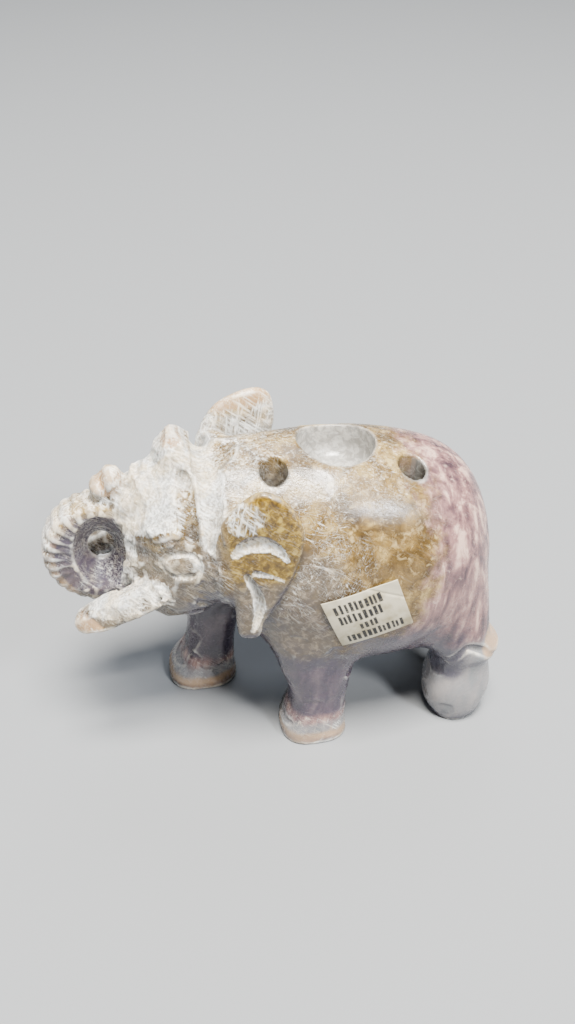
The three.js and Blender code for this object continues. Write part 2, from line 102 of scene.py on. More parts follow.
def close_skin(rings):
    """Closed mesh through rings of shape (m, n, 3): quads between rings, a fan over each end."""
    m, n = rings.shape[:2]
    points = np.vstack([rings.reshape(-1, 3), rings[0].mean(0), rings[-1].mean(0)])
    j, i = np.meshgrid(np.arange(m - 1), np.arange(n), indexing="ij")
    k = (i + 1) % n
    quads = np.stack([j * n + i, j * n + k, (j + 1) * n + k, (j + 1) * n + i], -1).reshape(-1, 4)
    i = np.arange(n)
    k = (i + 1) % n
    fans = np.vstack([np.stack([k, i, np.full(n, m * n)], -1),
                      np.stack([(m - 1) * n + i, (m - 1) * n + k, np.full(n, m * n + 1)], -1)])
    return points, fans, quads


TURN = np.linspace(0, 2 * np.pi, 96, endpoint=False)


def barrel_rings(rows):
    """Body section at x: y = half*cos(t), z = middle + height*sin(t), an ellipse across the body."""
    x, top, bottom, half = (c[:, None] for c in np.asarray(rows).T)
    y = half * np.cos(TURN)
    z = (top + bottom) / 2 + (top - bottom) / 2 * np.sin(TURN)
    return np.stack([np.broadcast_to(x, y.shape), y, z], -1)


def head_rings(rows):
    """Head section at x: two half superellipses, each with its own height and fullness n."""
    x, top, bottom, half, middle, upper, lower = (c[:, None] for c in np.asarray(rows).T)
    above = np.sin(TURN)[None] >= 0
    power = 2 / np.where(above, upper, lower)
    height = np.where(above, top - middle, middle - bottom)
    y = half * signed_power(np.cos(TURN)[None], power)
    z = middle + height * signed_power(np.sin(TURN)[None], power)
    return np.stack([np.broadcast_to(x, y.shape), y, z], -1)


def leg_rings(rows, power):
    """Leg section at z: a level superellipse, x = cx + long*cos(t)^p, y = cy + wide*sin(t)^p."""
    z, x, y, long, wide = (c[:, None] for c in np.asarray(rows).T)
    px = x + long * signed_power(np.cos(TURN), power)
    return np.stack([px, y + wide * signed_power(np.sin(TURN), power), np.broadcast_to(z, px.shape)], -1)


def bar_rings(points, radii, steps=6, rib=None, section=1.0, across=(0, 1, 0)):
    """Bar: each ring is centre + r*section(t)*(side*cos(t) + up*sin(t)), with a dome at each end."""
    path = smooth_rows(np.column_stack([points, radii]), steps)
    spots, r = path[:, :3], path[:, 3]
    heading = np.gradient(spots, axis=0)
    heading /= np.linalg.norm(heading, axis=1, keepdims=True)
    dome = np.radians([86, 70, 52, 34, 16])
    first = spots[0] - heading[0] * r[0] * np.sin(dome)[:, None]
    last = spots[-1] + heading[-1] * r[-1] * np.sin(dome[::-1])[:, None]
    spots = np.vstack([first, spots, last])
    heading = np.vstack([np.repeat(heading[:1], 5, 0), heading, np.repeat(heading[-1:], 5, 0)])
    r = np.concatenate([r[0] * np.cos(dome), r, r[-1] * np.cos(dome[::-1])])
    swell = np.zeros_like(r) if rib is None else np.concatenate([np.zeros(5), rib, np.zeros(5)])
    across = np.array(across, float)
    side = across - heading * (heading @ across)[:, None]
    side /= np.linalg.norm(side, axis=1, keepdims=True)
    up = np.cross(heading, side)
    reach = r[:, None] * (1 + swell[:, None] * np.clip(0.45 + np.sin(TURN), 0, 1) ** 0.7)
    return (spots[:, None] + side[:, None] * (reach * section * np.cos(TURN))[..., None]
            + up[:, None] * (reach * section * np.sin(TURN))[..., None])


def polygon(sides, turn):
    """Section of a flat-sided bar: cos(half)/cos(angle from a side's middle), where half = pi/sides."""
    half = np.pi / sides
    return 1.08 * np.cos(half) / np.cos((TURN - turn) % (2 * half) - half)


def squarish(power):
    """Section of a rounded square: 1/(|cos|^n + |sin|^n)^(1/n)."""
    return (np.abs(np.cos(TURN)) ** power + np.abs(np.sin(TURN)) ** power) ** (-1 / power)


# %% [markdown]
# ## The measured sections
# The solid was made from these sections too, some of them a little plainer. Reading down a table
# is like walking along the limb with a pair of calipers.

# %% Section tables
BODY = [
    [-17.5, 44, 44, 0], [-16.6, 50.4, 36, 5.2], [-13.6, 54.0, 29.4, 9.6], [-10.6, 54.5, 25.4, 11.4],
    [-7.4, 54.5, 19.4, 13.2], [-3.4, 54.4, 15.0, 15.0], [1.4, 54.3, 12.8, 16.4], [7.0, 54.0, 12.0, 17.0],
    [13.0, 53.2, 11.9, 17.0], [19.0, 51.7, 12.3, 16.6], [24.2, 49.7, 13.2, 15.3], [28.0, 46.9, 14.4, 12.9],
    [30.7, 42.7, 16.4, 9.6], [32.2, 37.2, 20.0, 5.8], [32.7, 29.0, 29.0, 0],
]
HEAD = [
    [-26.9, 39, 36, 0, 37, 1.5, 2.2], [-26.6, 47.0, 31.6, 5.2, 36.6, 1.5, 2.2],
    [-25.2, 51.0, 28.0, 8.0, 37.2, 1.55, 2.3], [-22.6, 53.2, 25.9, 10.0, 38.5, 1.6, 2.3],
    [-19.0, 55.2, 25.6, 11.5, 39.8, 1.7, 2.3], [-15.4, 56.0, 26.4, 12.3, 40.6, 1.8, 2.2],
    [-12.4, 54.8, 28.0, 11.6, 41.2, 1.9, 2.1], [-10.2, 51.5, 32.5, 8.6, 41.6, 2.0, 2.0],
    [-9.4, 42, 42, 0, 42, 2.0, 2.0],
]
LEGS = {
    "near front": [
        [33, 3.2, -8.6, 0, 0], [31, 3.2, -8.8, 4.6, 4.0], [25, 2.4, -9.3, 7.4, 5.8],
        [18, 2.3, -9.3, 6.6, 5.3], [12, 2.8, -9.0, 5.3, 4.8], [7.5, 2.9, -8.7, 4.9, 4.8],
        [4.2, 2.3, -8.6, 5.3, 5.1], [1.8, 2.1, -8.6, 5.7, 5.4], [-0.8, 2.3, -8.5, 5.2, 5.0],
        [-2, 2.3, -8.5, 0, 0]],
    "near rear": [
        [35, 24.2, -8.0, 0, 0], [32, 24.4, -8.2, 4.8, 4.4], [25, 24.8, -8.7, 6.8, 5.9],
        [19.6, 26.2, -9.0, 6.2, 5.6], [15.8, 28.3, -9.0, 6.2, 5.4], [13.6, 28.2, -8.9, 5.2, 5.0],
        [11.6, 28.1, -8.8, 5.1, 5.0], [7.0, 27.9, -8.8, 5.9, 5.6], [3.2, 27.8, -8.8, 5.4, 5.4],
        [0.9, 27.7, -8.8, 4.4, 4.8], [-0.6, 27.7, -8.8, 3.2, 3.9], [-1.6, 27.7, -8.8, 0, 0]],
    "far front": [
        [32, -4.0, 8.0, 0, 0], [29, -5.6, 8.4, 4.6, 4.0], [22.5, -9.4, 9.0, 5.8, 5.2],
        [16, -12.2, 8.9, 4.9, 4.8], [10, -13.2, 8.5, 4.3, 4.6], [6, -13.9, 8.2, 4.6, 4.9],
        [3, -15.0, 8.1, 5.7, 5.4], [1.2, -15.3, 8.0, 6.1, 5.7], [-0.8, -15.2, 8.0, 5.6, 5.3],
        [-2, -15.2, 8.0, 0, 0]],
    "far rear": [
        [35, 24.4, 8.0, 0, 0], [32, 24.6, 8.2, 4.8, 4.4], [25, 25.6, 8.7, 6.8, 5.9],
        [19.6, 27.6, 9.0, 6.2, 5.6], [15.8, 29.8, 9.0, 6.0, 5.4], [13.6, 29.8, 8.9, 5.2, 5.0],
        [11.6, 29.9, 8.8, 5.2, 5.0], [7.0, 30.0, 8.8, 6.0, 5.6], [3.2, 29.9, 8.8, 5.5, 5.4],
        [0.9, 29.8, 8.8, 4.5, 4.8], [-0.6, 29.7, 8.8, 3.3, 3.9], [-1.6, 29.7, 8.8, 0, 0]],
}
LEG_POWER = {"front": 0.74, "rear": 0.92}
NEAR_EAR = [
    [-13.6, 48.6], [-12.4, 51.0], [-10.0, 54.0], [-7.9, 55.6], [-6.2, 55.9], [-4.1, 54.6],
    [-2.5, 52.6], [-1.3, 50.0], [-1.0, 47.0], [-1.6, 43.4], [-2.6, 40.4], [-4.1, 36.9],
    [-5.8, 33.3], [-7.2, 30.7], [-7.7, 28.6], [-9.2, 27.9], [-10.8, 28.6], [-11.2, 32.0],
    [-11.2, 36.5], [-11.6, 41.0], [-13.0, 45.0]]
FAR_EAR = [
    [-13.4, 48.0], [-11.9, 51.2], [-9.9, 53.6], [-7.6, 54.7], [-5.0, 55.4], [-2.6, 55.3],
    [-0.9, 54.0], [-0.2, 51.6], [-0.2, 48.4], [-0.9, 44.8], [-2.2, 41.0], [-4.0, 37.0],
    [-5.8, 33.3], [-7.2, 30.7], [-7.9, 28.8], [-9.2, 28.1], [-10.7, 28.8], *NEAR_EAR[-4:]]
EAR_THICK, EAR_STAND, EAR_FLARE = 2.7, 14.1, 0.13
TUSKS = [
    ([[-22.5, -8.0, 35.2], [-26.5, -8.2, 33.2], [-30.6, -7.7, 31.0], [-33.6, -7.1, 29.4]],
     [2.9, 2.8, 2.5, 2.0]),
    ([[-22.5, 8.0, 36.4], [-26.5, 7.8, 35.0], [-29.8, 7.3, 33.9], [-32.4, 6.9, 33.2]],
     [2.9, 2.8, 2.5, 2.0]),
]
LOOP_X, LOOP_Z, LOOP_LONG, LOOP_HIGH, TRUNK_R = -30.4, 38.8, 5.7, 6.3, 3.4
LOOP_ASPECT, RIBS, RIB_DEPTH = 0.905, 23, 0.42

# %% [markdown]
# ## A block of stone as numbers
# A carving is not a patchwork of tubes: its limbs flow into each other and tools bite into it.
# So each skin is turned into a field of distances, positive outside and negative inside, on a
# fine lattice. Joining two forms is the smaller of two fields, with a little softness where they
# meet. Cutting is the larger of the field and the tool's field turned inside out.

# %% Distance fields
GRAIN = 0.3
BAND = 10
LOW = np.array([-43.0, -19.5, -2.5])
HIGH = np.array([38.5, 19.5, 61.5])
CORNER = np.floor(LOW / GRAIN).astype(int)
COUNT = np.ceil(HIGH / GRAIN).astype(int) - CORNER
FAR = GRAIN * BAND
stone_field = np.full(COUNT, FAR, np.float32)
tool_field = np.full(COUNT, FAR, np.float32)
AXES = [(CORNER[k] + np.arange(COUNT[k])) * GRAIN for k in range(3)]


def lattice_field(rings):
    """Signed distance of a closed skin on its own part of the lattice, cut off at the band's width."""
    points, fans, quads = close_skin(rings)
    transform = vdb.createLinearTransform(voxelSize=GRAIN)
    grid = vdb.FloatGrid.createLevelSetFromPolygons(
        points.astype(np.float32), triangles=fans.astype(np.uint32), quads=quads.astype(np.uint32),
        transform=transform, halfWidth=float(BAND))
    low = np.maximum(np.floor(points.min(0) / GRAIN).astype(int) - BAND - 1, CORNER)
    high = np.minimum(np.ceil(points.max(0) / GRAIN).astype(int) + BAND + 1, CORNER + COUNT)
    values = np.empty(high - low, np.float32)
    grid.copyToArray(values, ijk=tuple(int(v) for v in low))
    where = tuple(slice(a, b) for a, b in zip(low - CORNER, high - CORNER))
    return values, where


def soft_min(a, b, soft):
    """min(a, b) - soft/4 * h^2, where h = max(1 - |a - b|/soft, 0): a fillet of about soft mm."""
    h = np.maximum(1 - np.abs(a - b) / soft, 0)
    return np.minimum(a, b) - h * h * soft / 4


def add_form(rings, soft):
    """Joins a skin over rings to the block with a fillet of about soft mm."""
    values, where = lattice_field(rings)
    stone_field[where] = soft_min(stone_field[where], values, soft)


def cut_form(rings, soft, mark=True):
    """Cuts a skin out of the block, its edges broken by soft mm. Mark keeps where a fine tool went."""
    values, where = lattice_field(rings)
    stone_field[where] = -soft_min(-stone_field[where], values, soft)
    if mark:
        tool_field[where] = np.minimum(tool_field[where], values)


def tell(step):
    """Prints how much stone is left: voxels inside * their size."""
    print(step, "- stone in cm3:", round(float((stone_field < 0).sum()) * GRAIN**3 / 1000, 3))


def blob(x, y, z, a, b, c):
    """Ellipsoid: centre + (a*cos(u)*cos(v), b*cos(u)*sin(v), c*sin(u)), closed at its poles."""
    u = np.linspace(-np.pi / 2 + 0.02, np.pi / 2 - 0.02, 40)[:, None]
    v = TURN[None]
    return np.stack([x + a * np.cos(u) * np.cos(v), y + b * np.cos(u) * np.sin(v),
                     z + c * np.sin(u) * np.ones_like(v)], -1)


# %% Tools that need no mesh
def nook(centre, reach):
    """Slices of the lattice around a place, and its coordinates."""
    low = np.clip(np.floor((np.array(centre) - reach) / GRAIN).astype(int) - CORNER, 0, COUNT)
    high = np.clip(np.ceil((np.array(centre) + reach) / GRAIN).astype(int) - CORNER, 0, COUNT)
    where = tuple(slice(a, b) for a, b in zip(low, high))
    return where, [AXES[k][where[k]].reshape([-1 if j == k else 1 for j in range(3)]) for k in range(3)]


def facet(point, normal, centre, reach, soft=0.12, most=FAR):
    """Flat chisel cut: what is above the plane and within reach of the centre goes, at most so deep."""
    where, grid = nook(centre, reach)
    normal = np.array(normal, float) / np.linalg.norm(normal)
    above = sum((g - p) * n for g, p, n in zip(grid, point, normal))
    near = reach - np.sqrt(sum((g - c) ** 2 for g, c in zip(grid, centre)))
    tool = np.minimum(np.minimum(above, near), stone_field[where] + most).astype(np.float32)
    stone_field[where] = -soft_min(-stone_field[where], -tool, soft)


def both_sides(cut, *args, **kwargs):
    """Makes a cut on the near flank and its mirror image on the far one."""
    for flip in (1, -1):
        turned = [np.array(a, float) * [1, flip, 1] if np.ndim(a) else a for a in args]
        cut(*turned, **kwargs)


# %% Block out the animal
add_form(barrel_rings(smooth_rows(BODY, 8)), 0.01)
add_form(head_rings(smooth_rows(HEAD, 8)), 1.4)
for name, rows in LEGS.items():
    add_form(leg_rings(smooth_rows(rows, 6), LEG_POWER[name.split()[1]]), 2.2)
add_form(blob(-18.1, 0.3, 53.0, 3.2, 4.8, 6.0), 1.4)
add_form(blob(-15.9, 0.4, 52.2, 3.6, 5.0, 4.6), 1.2)
add_form(blob(-23.4, -0.6, 49.8, 2.5, 4.2, 3.6), 1.0)
for side in (-1, 1):
    add_form(blob(-20.4, side * 8.4, 46.0, 3.8, 2.4, 2.3), 1.0)
    add_form(blob(-11.0, side * 10.4, 41.5, 4.4, 4.4, 9.0), 3.0)
tell("blocked out")

# %% [markdown]
# ## The face is cut in flats
# On the real head the chisel left flat planes with crisp ridges between them: the forehead
# slopes, the two cheeks and the jaw. They are cut here before the tusks and the trunk go on.

# %% Flats of the face
FACE_FLATS = [
    ([-20.9, -7.0, 49.9], [-0.30, -0.72, 0.62], [-20.0, -8.0, 49.5], 7.0),
    ([-18.0, -3.7, 56.2], [-0.05, -0.78, 0.62], [-17.4, -5.0, 55.4], 5.5),
    ([-23.0, -8.6, 41.7], [-0.66, -0.75, -0.02], [-23.0, -8.5, 40.5], 6.5),
    ([-24.4, -9.0, 37.2], [-0.70, -0.62, -0.36], [-23.0, -10.5, 34.0], 8.5),
    ([-25.2, -3.4, 49.6], [-0.86, -0.42, 0.28], [-25.5, -3.6, 49.0], 5.0)]
for point, normal, centre, reach in FACE_FLATS:
    both_sides(facet, point, normal, centre, reach=reach, soft=0.06)
facet([-20.6, 0.0, 56.0], [-0.80, 0.0, 0.60], [-22.6, 0.0, 56.2], 4.2, 0.06)
facet([-15.6, 0.0, 56.2], [0.78, 0.0, 0.62], [-13.4, 0.0, 58.0], 6.0, 0.06)
tell("face in flats")

# %% Trunk, tusks, ears and tail
def loop_rings():
    """Trunk loop: centre + (5.7*cos, 0, 6.3*sin) from -5 to -310 degrees, ringed on its outer side."""
    t = np.linspace(0, 1, 361)
    angle = np.radians(-5 - 305 * t)
    points = np.stack([LOOP_X + LOOP_LONG * np.cos(angle), 0 * t, LOOP_Z + LOOP_HIGH * np.sin(angle)], -1)
    radii = TRUNK_R * (1.04 - 0.1 * t)
    wave = np.abs(np.sin(t * RIBS * np.pi)) ** 0.7 - 0.72
    rib = np.where((t > 0.12) & (t < 0.97), RIB_DEPTH / TRUNK_R * wave, 0)
    return bar_rings(points, radii, 1, rib, squarish(3.2))


def ear_stand(x):
    """How far the middle of an ear stands out: 14.1 mm, and 0.13 mm more for each mm towards the rear."""
    return EAR_STAND + EAR_FLARE * (x + 7)


def ear_rings(outline, side):
    """Ear: from the middle of one face out to the rim and back in on the other, a flat pillow."""
    outline = smooth_rows(np.vstack([outline, outline[:1]]), 8)[:-1]
    middle = np.array([-7.3, 43.5])
    phase = np.radians(np.linspace(-90, 90, 41))
    # s: how far out from the middle; t: how far across the thickness
    s, t = signed_power(np.cos(phase), 0.28), signed_power(np.sin(phase), 0.8)
    xz = middle + (outline[None] - middle) * s[:, None, None]
    y = side * (ear_stand(xz[..., 0]) + t[:, None] * EAR_THICK / 2)
    return np.stack([xz[..., 0], y, xz[..., 1]], -1)


add_form(loop_rings(), 0.9)
add_form(blob(LOOP_X, 0, LOOP_Z, 5.2, 1.0, 5.8), 0.4)
tip = [[-28.6, 0, 41.6], [-28.6, 0, 45.2], [-28.3, 0, 48.4], [-27.8, 0, 50.6]]
add_form(bar_rings(tip, [2.9, 2.8, 2.6, 2.2]), 0.8)
for side in (-1, 1):
    ridge = [[-26.0, 1.9 * side, 32.5], [-25.6, 2.7 * side, 36.0], [-25.3, 2.8 * side, 40.0],
             [-25.2, 2.6 * side, 44.0], [-25.4, 1.6 * side, 48.5]]
    add_form(bar_rings(ridge, [2.9, 2.7, 2.4, 2.4, 2.4]), 0.8)
add_form(blob(-27.5, -0.4, 51.2, 1.7, 2.5, 2.6), 0.3)
add_form(blob(-29.7, -0.4, 49.9, 1.4, 2.3, 2.0), 0.2)
for points, radii in TUSKS:
    add_form(bar_rings(points, np.array(radii) + 0.3, section=polygon(5, 0.35)), 0.5)
ear_field = np.full(COUNT, FAR, np.float32)
for outline, side in ((NEAR_EAR, -1), (FAR_EAR, 1)):
    pillow = ear_rings(outline, side)
    add_form(pillow, 0.8)
    values, where = lattice_field(pillow)
    ear_field[where] = np.minimum(ear_field[where], values)
tail = [[29.0, 0, 42.2], [31.3, 0, 36.6], [32.4, 0, 29.0], [32.0, 0, 21.6], [31.0, 0, 16.8]]
add_form(bar_rings(tail, [0.9, 1.2, 1.3, 1.4, 2.0]), 0.8)
tell("trunk, tusks, ears and tail on")

# %% [markdown]
# ## The chisel leaves small flats
# The carver pared the head and limbs with short strokes, so no curve there is a true round. Each
# stroke is a plane laid a fraction of a millimetre under the skin and tilted a few degrees.

# %% Pare the surface
def pare(count, low, high, reach, depth, tilt, seed):
    """Count flats at drawn places of the skin between two corners, up to depth mm deep, tilted in degrees."""
    draw = np.random.default_rng(seed)
    middle = (np.array(low) + np.array(high)) / 2
    where, grid = nook(middle, np.array(high) - middle)
    index = np.argwhere(np.abs(stone_field[where]) < GRAIN * 0.6) + [part.start for part in where]
    index = index[(index > 2).all(1) & (index < COUNT - 3).all(1)]
    index = index[draw.choice(len(index), count, replace=False)]
    slope = np.stack([stone_field[tuple((index + 2 * np.eye(3, dtype=int)[k]).T)]
                      - stone_field[tuple((index - 2 * np.eye(3, dtype=int)[k]).T)] for k in range(3)], -1)
    slope /= np.linalg.norm(slope, axis=1, keepdims=True)
    slope += draw.normal(0, math.radians(tilt), slope.shape)
    places = (index + CORNER) * GRAIN
    deep = depth * draw.uniform(0.4, 1.0, count)
    wide = reach * draw.uniform(0.7, 1.2, count)
    for place, normal, down, size in zip(places, slope, deep, wide):
        facet(place - normal * down, normal, place, size, 0.05, 1.2 * down)


pare(230, (-27, -13.5, 26), (-13, 13.5, 59), 2.3, 0.26, 6, 3)
pare(70, (-41, -4.5, 28), (-26.5, 4.5, 54), 1.4, 0.16, 6, 4)
pare(60, (-36, -12, 26), (-23, 12, 37), 2.0, 0.26, 5, 5)
pare(120, (-13, -18, 14), (8, 18, 55), 3.0, 0.10, 3, 6)
pare(110, (-21, -16, 2), (36, 16, 24), 2.4, 0.20, 5, 8)
pare(60, (8, -18, 14), (34, 18, 55), 3.4, 0.07, 2, 9)
tell("pared")

# %% [markdown]
# ## Drilled holes and cut lines
# The well and both stick holes are drilled straight down. Then finer tools follow the skin: they
# draw the neck, brow and eyes, dish the trunk's curl, and hollow the ears.

# %% Holes
WELL_X, WELL_Y, WELL_WIDE, WELL_DEEP = 7.0, 0.6, 12.3, 7.3
STICK_XS, STICK_Y, STICK_WIDE, STICK_DEEP = (WELL_X - 10.7, WELL_X + 10.7), -5.1, 4.3, 13


def body_at(x):
    """Top, bottom and half width of the body at x, read off its sections."""
    rows = smooth_rows(BODY, 16)
    return (np.interp(x, rows[:, 0], rows[:, k]) for k in (1, 2, 3))


def surface_at(x, y):
    """Height of the back over (x, y): middle + height*sqrt(1 - (y/half)^2)."""
    top, bottom, half = body_at(x)
    return (top + bottom) / 2 + (top - bottom) / 2 * math.sqrt(1 - (y / half) ** 2)


def drill_rings(x, y, diameter, depth, corner):
    """Drill: a round profile turned about a vertical axis, with its bottom corner rounded."""
    floor = surface_at(x, y) - depth
    angle = np.radians(np.linspace(0, 90, 12))
    radius = diameter / 2
    out = np.concatenate([[0.05], radius - corner + corner * np.sin(angle), [radius, radius]])
    z = np.concatenate([[floor], floor + corner - corner * np.cos(angle),
                        [floor + depth / 2, floor + depth + 8]])
    return np.stack([x + out[:, None] * np.cos(TURN), y + out[:, None] * np.sin(TURN),
                     z[:, None] * np.ones_like(TURN)], -1)


def gouge(line, radii, soft, across=(0, 1, 0), mark=True):
    """Round gouge drawn along a line. It goes as deep as a bar of those radii reaches into the stone."""
    cut_form(bar_rings(line, radii, across=across), soft, mark)


cut_form(drill_rings(WELL_X, WELL_Y, WELL_WIDE, WELL_DEEP, 2.6), 0.2, False)
for x in STICK_XS:
    cut_form(drill_rings(x, STICK_Y, STICK_WIDE, STICK_DEEP, 0.9), 0.3, False)
tell("drilled")

# %% Lines laid on the skin
def sample(values, points):
    """Trilinear value of a lattice array at points: sum over 8 corners of value * weight."""
    place = np.clip(points / GRAIN - CORNER, 0, np.array(values.shape) - 1.001)
    base = place.astype(int)
    part = place - base
    total = np.zeros(len(points))
    for corner in np.ndindex(2, 2, 2):
        at = base + corner
        weight = np.prod(np.where(corner, part, 1 - part), axis=1)
        total += weight * values[at[:, 0], at[:, 1], at[:, 2]]
    return total


def hug(points, lift):
    """Moves points to lift mm off the skin: p - (field - lift) * slope of the field, four times."""
    for turn in range(4):
        slope = np.stack([sample(stone_field, points + step) - sample(stone_field, points - step)
                          for step in np.eye(3) * GRAIN * 1.5], -1)
        slope /= np.linalg.norm(slope, axis=1, keepdims=True) + 1e-9
        points = points - (sample(stone_field, points) - lift)[:, None] * slope
    return points


def engrave(line, radii, depth, soft=0.05, across=(0, 1, 0), mark=True):
    """A gouge that follows the skin: its bar keeps depth mm under the skin all along the line."""
    path = smooth_rows(np.column_stack([line, radii]), 6)
    deep = np.minimum(depth, path[:, 3])
    line = hug(path[:, :3], path[:, 3] - deep)
    cut_form(bar_rings(line, path[:, 3], 1, across=across), soft, mark)


# %% Neck, brow, eye
NECK_LINE = [[-13.2, 0, 55.0], [-13.3, -5.2, 53.8], [-13.5, -8.2, 51.8], [-13.9, -10.6, 48.8],
             [-14.4, -12.3, 45.4]]
NECK_LINE = [[x, -y, z] for x, y, z in NECK_LINE[:0:-1]] + NECK_LINE
engrave(NECK_LINE, [0.8, 1.6, 2.0, 2.1, 2.0, 2.1, 2.0, 1.6, 0.8], 1.6, 0.05, (1, 0, 0))
both_sides(engrave, [[-17.6, -6.0, 54.2], [-17.5, -7.6, 52.4], [-17.3, -9.4, 50.0], [-17.2, -11.2, 46.6]],
           radii=[1.3, 2.1, 2.1, 1.2], depth=1.15, soft=0.06, across=(1, 0, 0), mark=False)
both_sides(gouge, [[-27.8, -7.0, 41.6], [-25.4, -10.2, 41.9], [-22.9, -12.2, 42.5], [-20.4, -13.0, 44.2]],
           radii=[3.0, 3.3, 2.7, 1.6], soft=0.05, mark=False)
EYE = [[-22.3, -10.0, 41.0], [-21.3, -10.3, 42.8], [-19.0, -11.0, 43.7], [-16.9, -11.7, 43.6],
       [-16.1, -12.0, 42.3], [-16.5, -12.1, 40.7], [-18.4, -11.7, 39.9], [-20.9, -10.9, 39.8]]
both_sides(engrave, EYE + EYE[:1], radii=np.full(9, 0.5), depth=0.45, soft=0.03)
both_sides(engrave, [[-23.0, -10.2, 44.6], [-20.6, -11.2, 45.6], [-18.0, -11.9, 45.6]],
           radii=[0.3, 0.5, 0.3], depth=0.3, soft=0.05, mark=False)
# Strokes of the rasp down the cheek: length and start of each, in mm, side by side at equal gaps
STROKES = [(6.5, 0.0), (7.0, 0.4), (6.0, 0.2), (7.2, 0.0), (5.6, 0.9), (4.4, 1.6), (3.2, 2.2)]
STROKE, ASIDE, GAP = np.array([0.75, -0.35, -0.60]), np.array([0.24, -0.69, 0.68]), 0.62
for k, (reach, start) in enumerate(STROKES):
    first = np.array([-26.3, -7.6, 37.6]) + k * GAP * ASIDE * [1, 0.6, 1] + STROKE * start
    both_sides(engrave, [first, first + STROKE * reach / 2, first + STROKE * reach],
               radii=[0.35, 0.5, 0.3], depth=0.36, soft=0.03)
tell("neck, brow and eyes cut")

# %% Dish of the trunk and gap behind the far ear
def dish_rings(side):
    """Funnel across the loop: an ellipse that widens from the hole to the crisp edge of the band."""
    y = np.array([0.3, -0.4, -3.0, -3.9])
    sizes = ((1.95, 4.1, 4.8), (2.5, 6.9, 8.2), (38.9, 39.5, 39.8))
    long, high, z = (np.interp(-y, [0.2, 3.0, 3.9], values)[:, None] for values in sizes)
    return np.stack([LOOP_X + long * np.cos(TURN), side * y[:, None] * np.ones_like(TURN),
                     z + high * np.sin(TURN)], -1)


for side in (1, -1):
    cut_form(dish_rings(side), 0.05, False)
gouge([[-12.4, 1.4, 55.3], [-8.5, 1.8, 55.2], [-5.0, 2.4, 55.0], [-1.0, 3.2, 54.6]],
      [2.0, 1.8, 1.3, 0.5], 0.05, mark=False)
tell("trunk dished")

# %% Ear relief
EAR_CRESCENT = [[-11.2, 45.6], [-9.9, 47.0], [-8.2, 47.5], [-6.4, 47.2], [-4.9, 46.1], [-3.6, 44.2]]
EAR_FOLD = [[-9.6, 41.6], [-8.5, 39.0], [-7.8, 36.2], [-8.0, 33.3], [-8.9, 29.9]]
EAR_NICK = [[-8.2, 42.0], [-6.6, 41.5], [-5.4, 41.0], [-4.0, 40.2]]
for side in (-1, 1):
    for line, widths, depth in ((EAR_CRESCENT, [0.7, 1.3, 1.6, 1.4, 0.9, 0.3], 0.9),
                                (EAR_FOLD, [0.4, 0.65, 0.8, 0.65, 0.3], 0.95),
                                (EAR_NICK, [0.6, 0.4, 0.3, 0.2], 0.4)):
        line, widths = np.array(line), np.array(widths)
        y = side * (ear_stand(line[:, 0]) + EAR_THICK / 2 + widths - depth * widths / widths.max())
        gouge(np.stack([line[:, 0], y, line[:, 1]], -1), widths, 0.05)
tell("ears cut")

# %% Feet and hocks
HOCK = [[33.6, -12.4, 14.6], [31.6, -14.2, 16.4], [29.5, -14.1, 18.0], [27.2, -14.5, 19.3],
        [26.2, -14.6, 18.6], [24.8, -14.1, 16.3], [23.1, -12.9, 15.1], [21.5, -10.6, 13.6]]
both_sides(gouge, HOCK, radii=[0.5, 0.6, 0.6, 0.5, 0.5, 0.5, 0.5, 0.4], soft=0.5, mark=False)
TOE = [[-2.4, -12.0, 4.2], [-3.2, -10.0, 3.6], [-3.5, -7.6, 3.4]]
engrave(TOE, [0.3, 0.6, 0.3], 0.35, 0.2, (0, 0, 1), False)
# What is below the floor goes: the field can't be less than -z
stone_field = np.maximum(stone_field, -AXES[2].astype(np.float32))
tell("feet cut")

# %% [markdown]
# ## From numbers back to a surface
# The lattice is turned into a net of quads on its zero surface. The net is then thinned where the
# stone is flat, so that its points go to the ridges and gouges.

# %% Skin the block
def skin_block():
    """Quads on the zero surface of the block, in mm of the tables, facing outward."""
    grid = vdb.FloatGrid(FAR)
    grid.copyFromArray(stone_field, ijk=tuple(int(v) for v in CORNER))
    grid.transform = vdb.createLinearTransform(voxelSize=GRAIN)
    points, quads = grid.convertToQuads(isovalue=0)
    a, b, c, d = (points[quads[:, k]].astype(float) for k in range(4))
    volume = (np.einsum("ij,ij->", a, np.cross(b, c)) + np.einsum("ij,ij->", a, np.cross(c, d))) / 6
    print("stone volume cm3:", round(abs(volume) / 1000, 2), "quads:", len(quads))
    return points, quads if volume > 0 else quads[:, ::-1]


def new_mesh(name, points, faces):
    """Mesh from points in mm of the tables and faces of equal size, smooth."""
    mesh = bpy.data.meshes.new(name)
    mesh.vertices.add(len(points))
    mesh.vertices.foreach_set("co", ((points + SHIFT) * MM).astype(np.float32).ravel())
    mesh.loops.add(faces.size)
    mesh.loops.foreach_set("vertex_index", faces.astype(np.int32).ravel())
    mesh.polygons.add(len(faces))
    mesh.polygons.foreach_set("loop_start", np.arange(0, faces.size, faces.shape[1], dtype=np.int32))
    mesh.polygons.foreach_set("use_smooth", np.ones(len(faces), bool))
    mesh.update(calc_edges=True)
    mesh.validate()
    return mesh


def put(name, data):
    """A new object in the scene."""
    made = bpy.data.objects.new(name, data)
    bpy.context.scene.collection.objects.link(made)
    return made


def place_piece(name, mesh):
    """A visible piece that rides on the one body."""
    piece = put(name, mesh)
    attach(piece, "root")
    return piece


